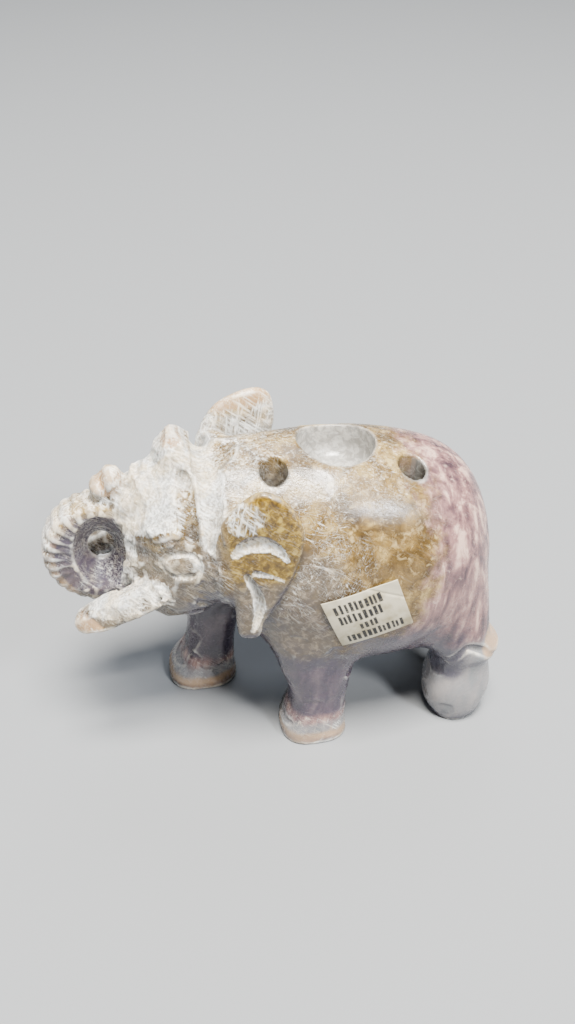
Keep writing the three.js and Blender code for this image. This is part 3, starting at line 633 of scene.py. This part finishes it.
MOST_TRIANGLES = 190_000
points, quads = skin_block()
rough = put("rough", new_mesh("rough", points, quads))
thin = rough.modifiers.new("thin", "DECIMATE")
thin.ratio = min(1.0, MOST_TRIANGLES / (2 * len(quads)))
bpy.context.view_layer.update()
carved = bpy.data.meshes.new_from_object(rough.evaluated_get(bpy.context.evaluated_depsgraph_get()))
bpy.data.objects.remove(rough)
carved.name = "carved_elephant"
carved.polygons.foreach_set("use_smooth", np.ones(len(carved.polygons), bool))
elephant = place_piece("carved_elephant", carved)
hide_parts("elephant")
spots = np.empty(len(carved.vertices) * 3, np.float32)
carved.vertices.foreach_get("co", spots)
spots = spots.reshape(-1, 3) / MM - SHIFT
print("carved faces:", len(carved.polygons), "from", spots.min(0).round(2), "to", spots.max(0).round(2))

# %% [markdown]
# ## Where the stone is ochre, mauve or freshly cut
# The block is banded: tan and ochre in the shoulder and back, mauve and pink in the rump, belly
# and legs, amber in the ear. The polish stops at the shoulder, and the head keeps its chalky tool
# marks. Each vertex gets these shares from its place, from how near a tool passed, and from how
# sharp the stone is there. Some shares are painted shade: in creases and hollows, down the stick
# holes and on faces turned down.

# %% Shares of each stone
X, Y, Z = spots.T
normals = np.empty(len(spots) * 3, np.float32)
carved.vertex_normals.foreach_get("vector", normals)
upward = normals.reshape(-1, 3)[:, 2]


def ramp(value, low, high):
    """0 below low, 1 above high, smooth between (3t^2 - 2t^3). Low may be above high."""
    t = np.clip((value - low) / (high - low), 0, 1)
    return t * t * (3 - 2 * t)


def zone(x, y, z, a, b, c, edge=0.35):
    """1 inside the ellipsoid, falling to 0 over the edge's share of its radius."""
    far = np.sqrt(((X - x) / a) ** 2 + ((Y - y) / b) ** 2 + ((Z - z) / c) ** 2)
    return ramp(far, 1 + edge / 2, 1 - edge / 2)


# Banding of the block: mauve rises from the belly to the rump; a line of it runs along the back
mauve_from = np.interp(Z, [10, 18, 22, 26, 30, 36, 44, 54], [-40, -3, 8, 13.5, 17.5, 20, 20.5, 18])
mauve = ramp(X, mauve_from - 6.5, mauve_from + 6.0) * ramp(X, -40, -22)
mauve = np.where(X < 12, np.minimum(mauve, ramp(Z, 26, 15)), mauve)
mauve = np.maximum(mauve, 0.8 * ramp(Z, 53.4, 54.3) * ramp(X, 11, 15))
mauve = np.maximum(mauve, 0.4 * ramp(X, -31, -36))
# Amber: ear, valley behind the brow, brow
ear_skin = ramp(sample(ear_field, spots), 0.9, 0.3)
ear_face = ear_skin * (np.abs(Y) > ear_stand(X) - 0.6)
off_ear = 1 - ear_face
amber = np.maximum.reduce([
    ear_face * ramp(X, -13.0, -10.8) * (1 - 0.7 * ramp(Z, 44, 38)),
    0.42 * zone(-17.0, -10.5, 48.0, 2.4, 4, 4.5), 0.55 * zone(-23.0, -8.6, 44.6, 3.2, 3, 1.8)])
# Peach: crown, trunk tip, tusk end, soles, hock, trunk, right ear. Cream: rear feet, front feet
peach = np.maximum.reduce([
    zone(-18.6, 0, 59.4, 2.6, 5, 2.8), 0.65 * zone(-28.5, -0.5, 51.5, 3, 3, 2.6),
    0.8 * zone(-33.6, -8.5, 28.6, 2.6, 4, 3), ramp(Z, 4.2, 1.0) * ramp(X, 14, 8),
    0.7 * zone(32.5, -11, 17.5, 3, 5, 4.5), 0.5 * zone(-37.5, 0, 34, 4, 6, 7),
    0.85 * ramp(Y, 9, 12) * ramp(Z, 51.5, 53.5)])
cream = np.maximum(ramp(X, 16, 21) * ramp(Z, 23, 17), 0.8 * ramp(Z, 6.5, 3.5) * ramp(X, 16, 10))

print("mauve and amber vertices:", int((mauve > 0.5).sum()), int((amber > 0.5).sum()))

# %% Shares of chalk and scratches
near_tool = sample(tool_field, spots)
brow_line = np.interp(X, [-26.0, -24.5, -21.5, -19.5, -18.0, -16.9, -15.6],
                      [43.4, 44.2, 46.6, 46.9, 46.0, 49.5, 47.0])
around = np.hypot(X - LOOP_X, (Z - LOOP_Z) * LOOP_ASPECT)
loop = ramp(X, -26.3, -27.5) * ramp(Z, 48.5, 47.0)
outer = ramp(around, 7.4, 8.3)
head_white = ramp(X, -15.0, -16.6) * ramp(Z - brow_line, -0.5, 0.7) * ramp(X, -29, -27)
face_edge = (ramp(X, -24.4, -25.6) * ramp(X, -29.0, -27.5) * ramp(np.abs(Y), 2.0, 3.4)
             * ramp(Z, 31.5, 33.5))
chalk = np.maximum.reduce([
    # Forehead and crown, edge of the face
    head_white * (1 - 0.5 * zone(-17.1, -9.5, 49.0, 2.0, 5, 4.6)), 0.8 * face_edge,
    # Trunk: its ribs, its sides and its tip
    0.72 * loop * outer, 0.06 * loop, 0.7 * ramp(X, -26, -27) * ramp(Z, 46.5, 48.5),
    # Cheek, whole head, tusk, jaw
    0.22 * zone(-24.5, -9.5, 36.0, 3.6, 3, 3.2), 0.20 * ramp(X, -13, -16) * (1 - loop),
    0.95 * zone(-31.0, -8, 34.0, 4.6, 5, 2.6), 0.3 * ramp(X, -26, -29) * ramp(Z, 36, 34),
    # Back, front feet, shoulder, neck
    0.30 * ramp(Z, 45, 51) * ramp(X, 22, 14) * ramp(X, -2, 6),
    0.34 * ramp(Z, 8.0, 6.0) * ramp(Z, 1.2, 2.6) * ramp(X, 16, 10),
    0.46 * ramp(X, 9, -7) * ramp(X, -18, -14) * ramp(Z, 41, 50) * off_ear,
    0.85 * ramp(X, -10.0, -12.6) * ramp(X, -16.5, -15) * ramp(Z, 44, 46) * off_ear,
    # Top of the left ear, right ear, fine cuts
    0.62 * zone(-9.8, -15.5, 52.0, 3.2, 3, 3.2), 0.82 * ear_skin * ramp(Y, 0, 5),
    0.9 * ramp(near_tool, 0.25, 0.05)])
# Less chalk on the peach places, and less on faces turned down: painted shade on the undersides
chalk = chalk * (1 - 0.5 * peach * ramp(X, 0, -3)) * (1 - 0.45 * ramp(upward, 0.0, -0.5))
scratch_a = np.clip(chalk * 0.6 + 0.62 * ramp(X, 10, 1) * ramp(Z, 26, 38) + 0.05, 0, 1)
scratch_b = np.clip(0.80 * zone(4.5, -15, 40, 5, 8, 6, 0.8) + 0.6 * ramp(X, -24, -28) + 0.3 * chalk, 0, 1)
scratch_a, scratch_b = (scratch * (1 - 0.75 * ear_face) for scratch in (scratch_a, scratch_b))

print("chalky vertices:", int((chalk > 0.5).sum()))

# %% Shares of sharp edges, of painted shade in hollows and of painted shade down the stick holes
lap = sum(np.roll(stone_field, 1, k) + np.roll(stone_field, -1, k) for k in range(3)) - 6 * stone_field
for k in range(3):
    lap = (np.roll(lap, 1, k) + 2 * lap + np.roll(lap, -1, k)) / 4
sharp = np.clip(sample(lap, spots) / GRAIN**2 * 0.5, -1, 1)
from_well = np.hypot(X - WELL_X, Y - WELL_Y)
rim = ramp(np.abs(from_well - WELL_WIDE / 2), 1.6, 0.8)
# Painted shade inside the stick holes, darker with depth; and the share of the hollow of each hole
hole_shade, hole = np.zeros_like(X), ramp(from_well, 6.5, 6.1) * ramp(Z, 53.6, 53.0)
for x in STICK_XS:
    from_stick, deep = np.hypot(X - x, Y - STICK_Y), surface_at(x, STICK_Y) - Z
    inside = ramp(from_stick, 2.7, 2.3)
    rim = np.maximum(rim, ramp(np.abs(from_stick - STICK_WIDE / 2), 1.6, 0.8))
    hole = np.maximum(hole, inside * ramp(deep, 0.0, 0.6))
    hole_shade = np.maximum(hole_shade, inside * ramp(deep, -0.8, 1.8))
sharp = np.where(sharp > 0, sharp * (1 - 0.7 * rim * ramp(Z, 49, 50)) * (1 - 0.55 * ear_face), sharp)


def box_mean(values, reach):
    """Mean over a cube of 2*reach + 1 voxels, axis by axis, from differences of running sums."""
    wide = 2 * reach + 1
    for k in range(3):
        sums = np.cumsum(np.moveaxis(values, k, 0), axis=0, dtype=np.float64)
        first, last = np.zeros_like(sums[:1]).repeat(reach + 1, 0), sums[-1:].repeat(reach, 0)
        sums = np.concatenate([first, sums, last])
        values = np.moveaxis((sums[wide:] - sums[:-wide]) / wide, 0, k).astype(np.float32)
    return values


# Painted shade in creases and recesses: the more stone lies around a point, the darker it is painted
solid_near = sample(box_mean(box_mean((stone_field < 0).astype(np.float32), 3), 4), spots)
hollow_shade = ramp(solid_near, 0.50, 0.74)
print("sharpness:", np.percentile(sharp, [1, 25, 50, 75, 99]).round(3),
      "solid around:", np.percentile(solid_near, [1, 25, 50, 75, 99]).round(3))


def give(mesh, name, *shares):
    """Stores up to four shares per vertex as one colour attribute."""
    table = np.zeros((len(mesh.vertices), 4), np.float32)
    for k, share in enumerate(shares):
        table[:, k] = share
    mesh.attributes.new(name, "FLOAT_COLOR", "POINT").data.foreach_set("color", table.ravel())


# Grey: right of the ear and its lower half, below the brow, sides of the trunk
grey = np.maximum.reduce([
    ramp(X, 8, 1) * ramp(Z, 48, 40) * ramp(X, -13, -10) * off_ear, 0.8 * ear_face * ramp(Z, 44, 38),
    0.9 * ramp(X, -12, -14) * ramp(Z - brow_line, 0.5, -1.0) * ramp(X, -29, -27), 0.9 * loop * (1 - outer)])
# Violet: front legs (deepened as painted shade), low rump, painted shade on undersides and in the trunk's
# curl, back, foot edges, shoulder
violet_and_shade = np.maximum.reduce([
    0.95 * ramp(Z, 27, 19) * ramp(Z, 4.5, 8.0) * ramp(X, 21, 15),
    0.85 * ramp(Z, 33, 17) * ramp(Z, 9, 12) * ramp(X, 12, 17) * ramp(X, 30, 25),
    0.95 * ramp(upward, 0.05, -0.45) * ramp(X, -22, -16),
    0.8 * loop * ramp(around, 7.5, 6.9) * ramp(np.abs(Y), 5.6, 4.6),
    0.6 * ramp(Z, 52.6, 53.6) * ramp(X, 11, 14), 0.6 * ramp(Z, 2.4, 0.8) * ramp(X, 20, 14),
    0.38 * ramp(X, 6, 0) * ramp(Z, 42, 34) * ramp(X, -13, -10) * off_ear])
give(carved, "stone_zone", mauve, amber, peach, cream)
give(carved, "stone_work", chalk, scratch_a, scratch_b, 0.5 + 0.5 * sharp)
give(carved, "stone_dark", hole_shade, hollow_shade, violet_and_shade, grey)
give(carved, "stone_hole", hole)

# %% [markdown]
# ## The stone
# Soft marble or soapstone, index 1.57, cut and then waxed only where the polish went. Its colours
# were adjusted until renders came near the photograph. The noise sizes are millimetres on the real
# piece.

# %% Node and colour helpers
def colour(code):
    """sRGB hex to linear: c/12.92 below 0.04045, else ((c + 0.055)/1.055)^2.4."""
    part = [int(code[k:k + 2], 16) / 255 for k in (1, 3, 5)]
    return tuple(c / 12.92 if c <= 0.04045 else ((c + 0.055) / 1.055) ** 2.4 for c in part) + (1.0,)


def plug(node, **sockets):
    """Fills a node's sockets, by name or as i0, i1..., each with a value, a hex colour or an output."""
    for key, value in sockets.items():
        value = colour(value) if isinstance(value, str) else value
        socket = node.inputs[int(key[1:])] if key[1:].isdigit() else node.inputs[key.replace("_", " ")]
        if isinstance(value, bpy.types.NodeSocket):
            tree.links.new(value, socket)
        else:
            socket.default_value = value
    return node


def add(kind, settings=None, **sockets):
    """One new node in the tree at hand; settings are its own properties."""
    made = tree.nodes.new("ShaderNode" + kind)
    for key, value in (settings or {}).items():
        setattr(made, key, value)
    return plug(made, **sockets)


def blank(name):
    """A new material, its tree and its shader."""
    material = bpy.data.materials.new(name)
    material.use_nodes = True
    tree = material.node_tree
    return material, tree, tree.nodes["Principled BSDF"]


def mix(share, under, over):
    """Colour of under with this share of over."""
    return add("Mix", {"data_type": "RGBA"}, i0=share, i6=under, i7=over).outputs[2]


def math_node(operation, a, b=0.0):
    return add("Math", {"operation": operation}, i0=a, i1=b).outputs[0]


def times(a, b):
    return math_node("MULTIPLY", a, b)


def plus(a, b):
    return math_node("ADD", a, b)


def most(*values):
    """The largest of the values."""
    best = values[0]
    for value in values[1:]:
        best = math_node("MAXIMUM", best, value)
    return best


def off_middle(value):
    """How far a noise is from its middle value, 0.5."""
    return math_node("ABSOLUTE", plus(value, -0.5))


def shares(name):
    """The four shares of a colour attribute."""
    made = add("Attribute", {"attribute_name": name})
    parts = add("SeparateColor", None, i0=made.outputs["Color"]).outputs
    return parts[0], parts[1], parts[2], made.outputs["Alpha"]


def in_mm():
    """Object coordinates in millimetres."""
    place = add("TexCoord").outputs["Object"]
    return add("VectorMath", {"operation": "SCALE"}, i0=place, Scale=1 / MM).outputs[0]


def spread(value, low, high, out_low=0.0, out_high=1.0):
    """Smooth step of a value from low..high to out_low..out_high."""
    return add("MapRange", {"interpolation_type": "SMOOTHSTEP"}, Value=value, i1=low, i2=high,
               i3=out_low, i4=out_high).outputs[0]


def ramp_node(share, stops):
    """Colour ramp through (place, hex) stops."""
    made = add("ValToRGB", None, i0=share)
    band = made.color_ramp
    while len(band.elements) < len(stops):
        band.elements.new(0.5)
    for element, (place, code) in zip(band.elements, stops):
        element.position, element.color = place, colour(code)
    return made.outputs[0]


def noise(vector, size, detail=4.0, rough=0.55, twist=0.0):
    """Noise whose features are about size mm, for a vector in mm."""
    return add("TexNoise", None, Vector=vector, Scale=1 / size, Detail=detail,
               Roughness=rough, Distortion=twist).outputs[0]


def stretched(vector, turn, scale):
    """The vector turned by degrees about X, Y and Z and then scaled, for streaks along its first axis."""
    turned = add("Mapping", {"vector_type": "TEXTURE"}, Vector=vector,
                 Rotation=[math.radians(v) for v in turn])
    return add("VectorMath", {"operation": "MULTIPLY"}, i0=turned.outputs[0], i1=scale).outputs[0]


def hairs(vector, turn, long, wide, keep):
    """Hair-thin lines: where a noise stretched long mm by wide mm crosses its middle value, within keep."""
    value = noise(stretched(vector, turn, (1 / long, 1 / wide, 1 / wide)), 1.0, 0.0)
    return spread(off_middle(value), keep, 0.0)


# %% Stone material
stone, tree, shader = blank("banded_soft_marble")
mm = in_mm()
mauve_share, amber_share, peach_share, cream_share = shares("stone_zone")
chalk_share, scratch_a_share, scratch_b_share, sharp_share = shares("stone_work")
hole_shade_share, hollow_shade_share, violet_and_shade_share, grey_share = shares("stone_dark")
hole_share = shares("stone_hole")[0]
cloud = noise(mm, 5.0, 5.0, 0.6, 0.8)
mottle = noise(mm, 1.1, 6.0, 0.65, 0.6)
grain = noise(mm, 0.28, 3.0, 0.6)
streak = noise(stretched(mm, (0, 12, 0), (0.45, 0.45, 0.10)), 1.0, 6.0, 0.62, 0.4)
wander = plus(noise(mm, 2.6, 5.0, 0.65), -0.5)


def ragged(share, reach, low, high):
    """A share whose edge wanders with the noise."""
    return spread(plus(share, times(wander, reach)), low, high)


# Colours of the bands
ochre = ramp_node(cloud, [(0.32, "#362711"), (0.43, "#524020"), (0.53, "#705a31"), (0.66, "#9c8654")])
threads = spread(off_middle(mottle), 0.05, 0.0)
ochre = mix(times(threads, 0.5), ochre, "#3a2b14")
ochre = mix(spread(mottle, 0.54, 0.72, 0.0, 0.5), ochre, "#bda97c")
rose = ramp_node(streak, [(0.32, "#3f3036"), (0.43, "#62494b"), (0.53, "#866663"), (0.64, "#bd9f92")])
rose = mix(spread(mottle, 0.58, 0.75, 0.0, 0.6), rose, "#cdb5a8")
honey = ramp_node(mottle, [(0.32, "#342408"), (0.45, "#5c460f"), (0.56, "#81671e"), (0.70, "#b09845")])
ashen = mix(spread(mottle, 0.40, 0.65), "#4a433c", "#786e62")
dusk = mix(streak, "#1e1b29", "#444055")
# Share, how far its edge wanders, low and high threshold, strength and colour of each band; the violet band
# is partly painted shade
base = ochre
for share, reach, low, high, strength, over in (
        (grey_share, 0.8, 0.25, 0.75, 0.75, ashen), (mauve_share, 1.3, 0.2, 0.8, 1.0, rose),
        (amber_share, 0.5, 0.3, 0.7, 1.0, honey), (cream_share, 0.8, 0.2, 0.8, 0.8, "#808486"),
        (peach_share, 0.7, 0.25, 0.75, 0.75, "#b1906c"),
        (violet_and_shade_share, 0.8, 0.25, 0.85, 0.85, dusk)):
    base = mix(times(ragged(share, reach, low, high), strength), base, over)

print("banded colours:", len(tree.nodes), "nodes")

# %% Scratches, chalk and soot
# Turn in degrees, length and width in mm, and share of the noise that a line keeps
lines_a = most(*(hairs(mm, *line) for line in (
    ((20, 38, 0), 26.0, 0.62, 0.024), ((10, 50, 8), 16.0, 0.45, 0.022), ((28, 30, -10), 30.0, 0.9, 0.016))))
lines_b = most(*(hairs(mm, *line) for line in (
    ((0, 118, 0), 14.0, 0.60, 0.015), ((12, 75, 0), 10.0, 0.55, 0.015))))
scratches = most(times(lines_a, scratch_a_share), times(lines_b, scratch_b_share))
scratches = times(scratches, spread(noise(mm, 4.0, 3.0), 0.35, 0.6))
comb_a = noise(stretched(mm, (15, 42, 0), (0.16, 2.6, 2.6)), 1.0, 3.0, 0.6)
comb_b = noise(stretched(mm, (0, 100, 0), (0.2, 2.8, 2.8)), 1.0, 3.0, 0.6)
combed = most(comb_a, times(comb_b, 0.96))
dust = plus(chalk_share, times(plus(combed, -0.55), 1.9))
dust = spread(plus(dust, times(wander, 0.5)), 0.34, 0.85)
dust = times(dust, spread(combed, 0.48, 0.60, 0.50, 1.0))
edges = times(spread(sharp_share, 0.58, 0.80), 0.75)
edges = times(edges, spread(wander, -0.1, 0.1, 0.3, 1.0))
white = most(dust, edges, times(scratches, 0.95))
white = times(white, math_node("SUBTRACT", 1.0, hole_share))
drilled = mix(spread(mottle, 0.4, 0.6), "#8f8d88", "#b5b3ad")
pale = mix(spread(cloud, 0.4, 0.62), "#e9ebe8", "#e9ddc6")
pale = mix(spread(mottle, 0.52, 0.40, 0.0, 0.5), pale, "#b9bbb8")
base = mix(white, mix(hole_share, base, drilled), pale)
# Painted shade, darker in creases and recesses
base = mix(times(hollow_shade_share, 0.62), base, "#37322d")
# Painted shade, darker the deeper into a stick hole
base = mix(times(hole_shade_share, 0.85), base, "#1e1b18")

# %% Polish and bump
rough = add("Mix", {"data_type": "FLOAT"}, i0=most(dust, scratches),
            i2=spread(mottle, 0.3, 0.7, 0.19, 0.31), i3=0.66).outputs[0]
tooth = times(chalk_share, 0.6)
height = math_node("SUBTRACT", times(grain, tooth), times(scratches, 0.7))
height = plus(height, times(plus(mottle, combed), tooth))
bump = add("Bump", None, Strength=0.9, Distance=0.00012, Height=height)
plug(shader, Base_Color=base, Roughness=rough, Normal=bump.outputs[0], IOR=1.57, Subsurface_Weight=0.12,
     Subsurface_Radius=(1.0, 0.7, 0.45), Subsurface_Scale=0.0012)
print("stone material:", len(tree.nodes), "nodes")
carved.materials.clear()
carved.materials.append(stone)

# %% [markdown]
# ## The paper label
# A cream paper sticker lies on the near flank. Its print isn't copied: four rows of plain dark
# strokes stand for it. The sheet follows the flank, and one corner is creased and lifts a little.

# %% Label sheet
LABEL_CORNERS = np.array([[[1.3, 35.6], [13.0, 38.9]], [[5.1, 25.6], [16.1, 29.6]]])
LABEL_LIFT, LABEL_THICK = 0.42, 0.12


def flank(x, z):
    """How far the near flank stands out at (x, z): -half * sqrt(1 - ((z - middle)/height)^2)."""
    top, bottom, half = body_at(x)
    level = (z - (top + bottom) / 2) / ((top - bottom) / 2)
    return -half * np.sqrt(np.maximum(1 - level**2, 0))


def sheet(across, down):
    """Label grid: corners blended by (u, v), laid on the flank and lifted; the far upper corner curls."""
    u, v = np.meshgrid(np.linspace(0, 1, across), np.linspace(0, 1, down))
    upper = LABEL_CORNERS[0, 0] * (1 - u)[..., None] + LABEL_CORNERS[0, 1] * u[..., None]
    lower = LABEL_CORNERS[1, 0] * (1 - u)[..., None] + LABEL_CORNERS[1, 1] * u[..., None]
    xz = upper * (1 - v)[..., None] + lower * v[..., None]
    curl = 0.35 * ramp(u - v, 0.55, 1.0) ** 2 - 0.08 * np.exp(-((u - v - 0.62) / 0.03) ** 2)
    y = flank(xz[..., 0], xz[..., 1]) - LABEL_LIFT - curl
    return u, v, np.stack([xz[..., 0], y, xz[..., 1]], -1)


ACROSS, DOWN = 150, 120
u, v, front = sheet(ACROSS, DOWN)
back = front + np.array([0, LABEL_THICK, 0])
grid = np.arange(ACROSS * DOWN).reshape(DOWN, ACROSS)
cells = np.stack([grid[:-1, :-1], grid[1:, :-1], grid[1:, 1:], grid[:-1, 1:]], -1).reshape(-1, 4)
rim = np.concatenate([grid[0, :-1], grid[:-1, -1], grid[-1, :0:-1], grid[:0:-1, 0]])
following = np.roll(rim, -1)
size = ACROSS * DOWN
wall = np.stack([rim, following, following + size, rim + size], -1)
label_points = np.vstack([front.reshape(-1, 3), back.reshape(-1, 3)])
label_faces = np.vstack([cells, cells[:, ::-1] + size, wall])
label_mesh = new_mesh("paper_label_sheet", label_points, label_faces)
label = place_piece("paper_label_sheet", label_mesh)
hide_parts("paper_label")
print("label faces:", len(label_faces))

# %% Strokes on the label
# Each row: top, bottom, start and end, as shares of the label's height and width
ROWS = [(0.08, 0.29, 0.11, 0.70), (0.31, 0.51, 0.12, 0.72),
        (0.54, 0.71, 0.34, 0.58), (0.74, 0.94, 0.12, 0.90)]


def strokes(u, v, seed=7):
    """Ink share: in each row, plain upright bars of drawn widths and heights, with soft ends."""
    draw = np.random.default_rng(seed)
    ink = np.zeros_like(u)
    for top, bottom, start, end in ROWS:
        at = start
        while at < end:
            wide, short = draw.uniform(0.026, 0.048), draw.uniform(0.0, 0.04)
            bar = ramp(np.abs(u - at - wide / 2), wide / 2 + 0.006, wide / 2)
            level, half = (top + bottom + short) / 2, (bottom - top - short) / 2
            ink = np.maximum(ink, bar * ramp(np.abs(v - level), half, half - 0.01))
            at += wide + draw.uniform(0.022, 0.040)
    return ink


ink = strokes(u, v)
give(label_mesh, "print", np.tile(ink.ravel(), 2))
paper, tree, shader = blank("cream_label_paper")
mm = in_mm()
soil = spread(noise(mm, 3.0, 5.0), 0.45, 0.75)
sheet_colour = mix(soil, "#b9b19b", "#8f8569")
worn = spread(noise(mm, 0.3, 2.0), 0.25, 0.5, 0.7, 1.0)
ink_share = times(shares("print")[0], worn)
bump = add("Bump", None, Strength=0.4, Distance=0.00004, Height=noise(mm, 0.15, 3.0))
plug(shader, Base_Color=mix(ink_share, sheet_colour, "#151416"), Roughness=0.62, IOR=1.5,
     Normal=bump.outputs[0])
print("share of the label under ink:", round(float(ink.mean()), 3))
label_mesh.materials.clear()
label_mesh.materials.append(paper)

# %% [markdown]
# ## Camera, floor and light
# The camera stands where the photographer stood. The floor is pale and the lamps are soft; a small
# one gives the glint on the polished flank.

# %% Camera, floor and light
# Place in mm, degrees down and to the side, focal length and picture height in pixels
CAMERA_SPOT, CAMERA_DOWN, CAMERA_TURN = (-25.4, -129.9, 144.1), 38, -10.8
FOCAL_PIXELS, PICTURE_HIGH, SENSOR_MM = 1050, 1024, 36
camera = put("camera", bpy.data.cameras.new("camera"))
camera.location = ((np.array(CAMERA_SPOT) + SHIFT) * MM).tolist()
camera.rotation_euler = (math.radians(90 - CAMERA_DOWN), 0, math.radians(CAMERA_TURN))
camera.data.lens = FOCAL_PIXELS / PICTURE_HIGH * SENSOR_MM
camera.data.sensor_width = SENSOR_MM
camera.data.clip_start = 0.01
bpy.context.scene.camera = camera

floor_mesh = bpy.data.meshes.new("floor")
floor_mesh.from_pydata([(-2, -1.5, 0), (2, -1.5, 0), (2, 3, 0), (-2, 3, 0)], [], [(0, 1, 2, 3)])
floor = put("floor", floor_mesh)
pale_floor, tree, shader = blank("pale_floor")
plug(shader, Base_Color="#7c7f82", Roughness=0.9)
floor_mesh.materials.append(pale_floor)


def soft_lamp(name, azimuth, height, far, size, power, tint):
    """Square lamp aimed at the figure: azimuth from -Y towards +X and height in degrees, distance in m."""
    lamp = put(name, bpy.data.lights.new(name, "AREA"))
    turn, lift = math.radians(azimuth), math.radians(height)
    aim = np.array([0, 0, 0.028])
    towards = [math.sin(turn) * math.cos(lift), -math.cos(turn) * math.cos(lift), math.sin(lift)]
    lamp.location = aim + far * np.array(towards)
    lamp.rotation_euler = (math.pi / 2 - lift, 0, turn)
    lamp.data.size, lamp.data.energy, lamp.data.color = size, power, colour(tint)[:3]


soft_lamp("key", 6, 76, 0.9, 0.3, 47.0, "#fffaf2")
soft_lamp("glint", 36, 42, 1.0, 0.14, 12.0, "#ffffff")
soft_lamp("side", -70, 30, 0.9, 0.4, 0.9, "#e6f0ff")
soft_lamp("back", 170, 55, 1.0, 0.5, 6.0, "#f0f6ff")
world = bpy.data.worlds.new("soft_room")
world.use_nodes = True
plug(world.node_tree.nodes["Background"], Color="#e9f0fa", Strength=0.09)
bpy.context.scene.world = world
print("lamps:", [light.name for light in bpy.data.lights])
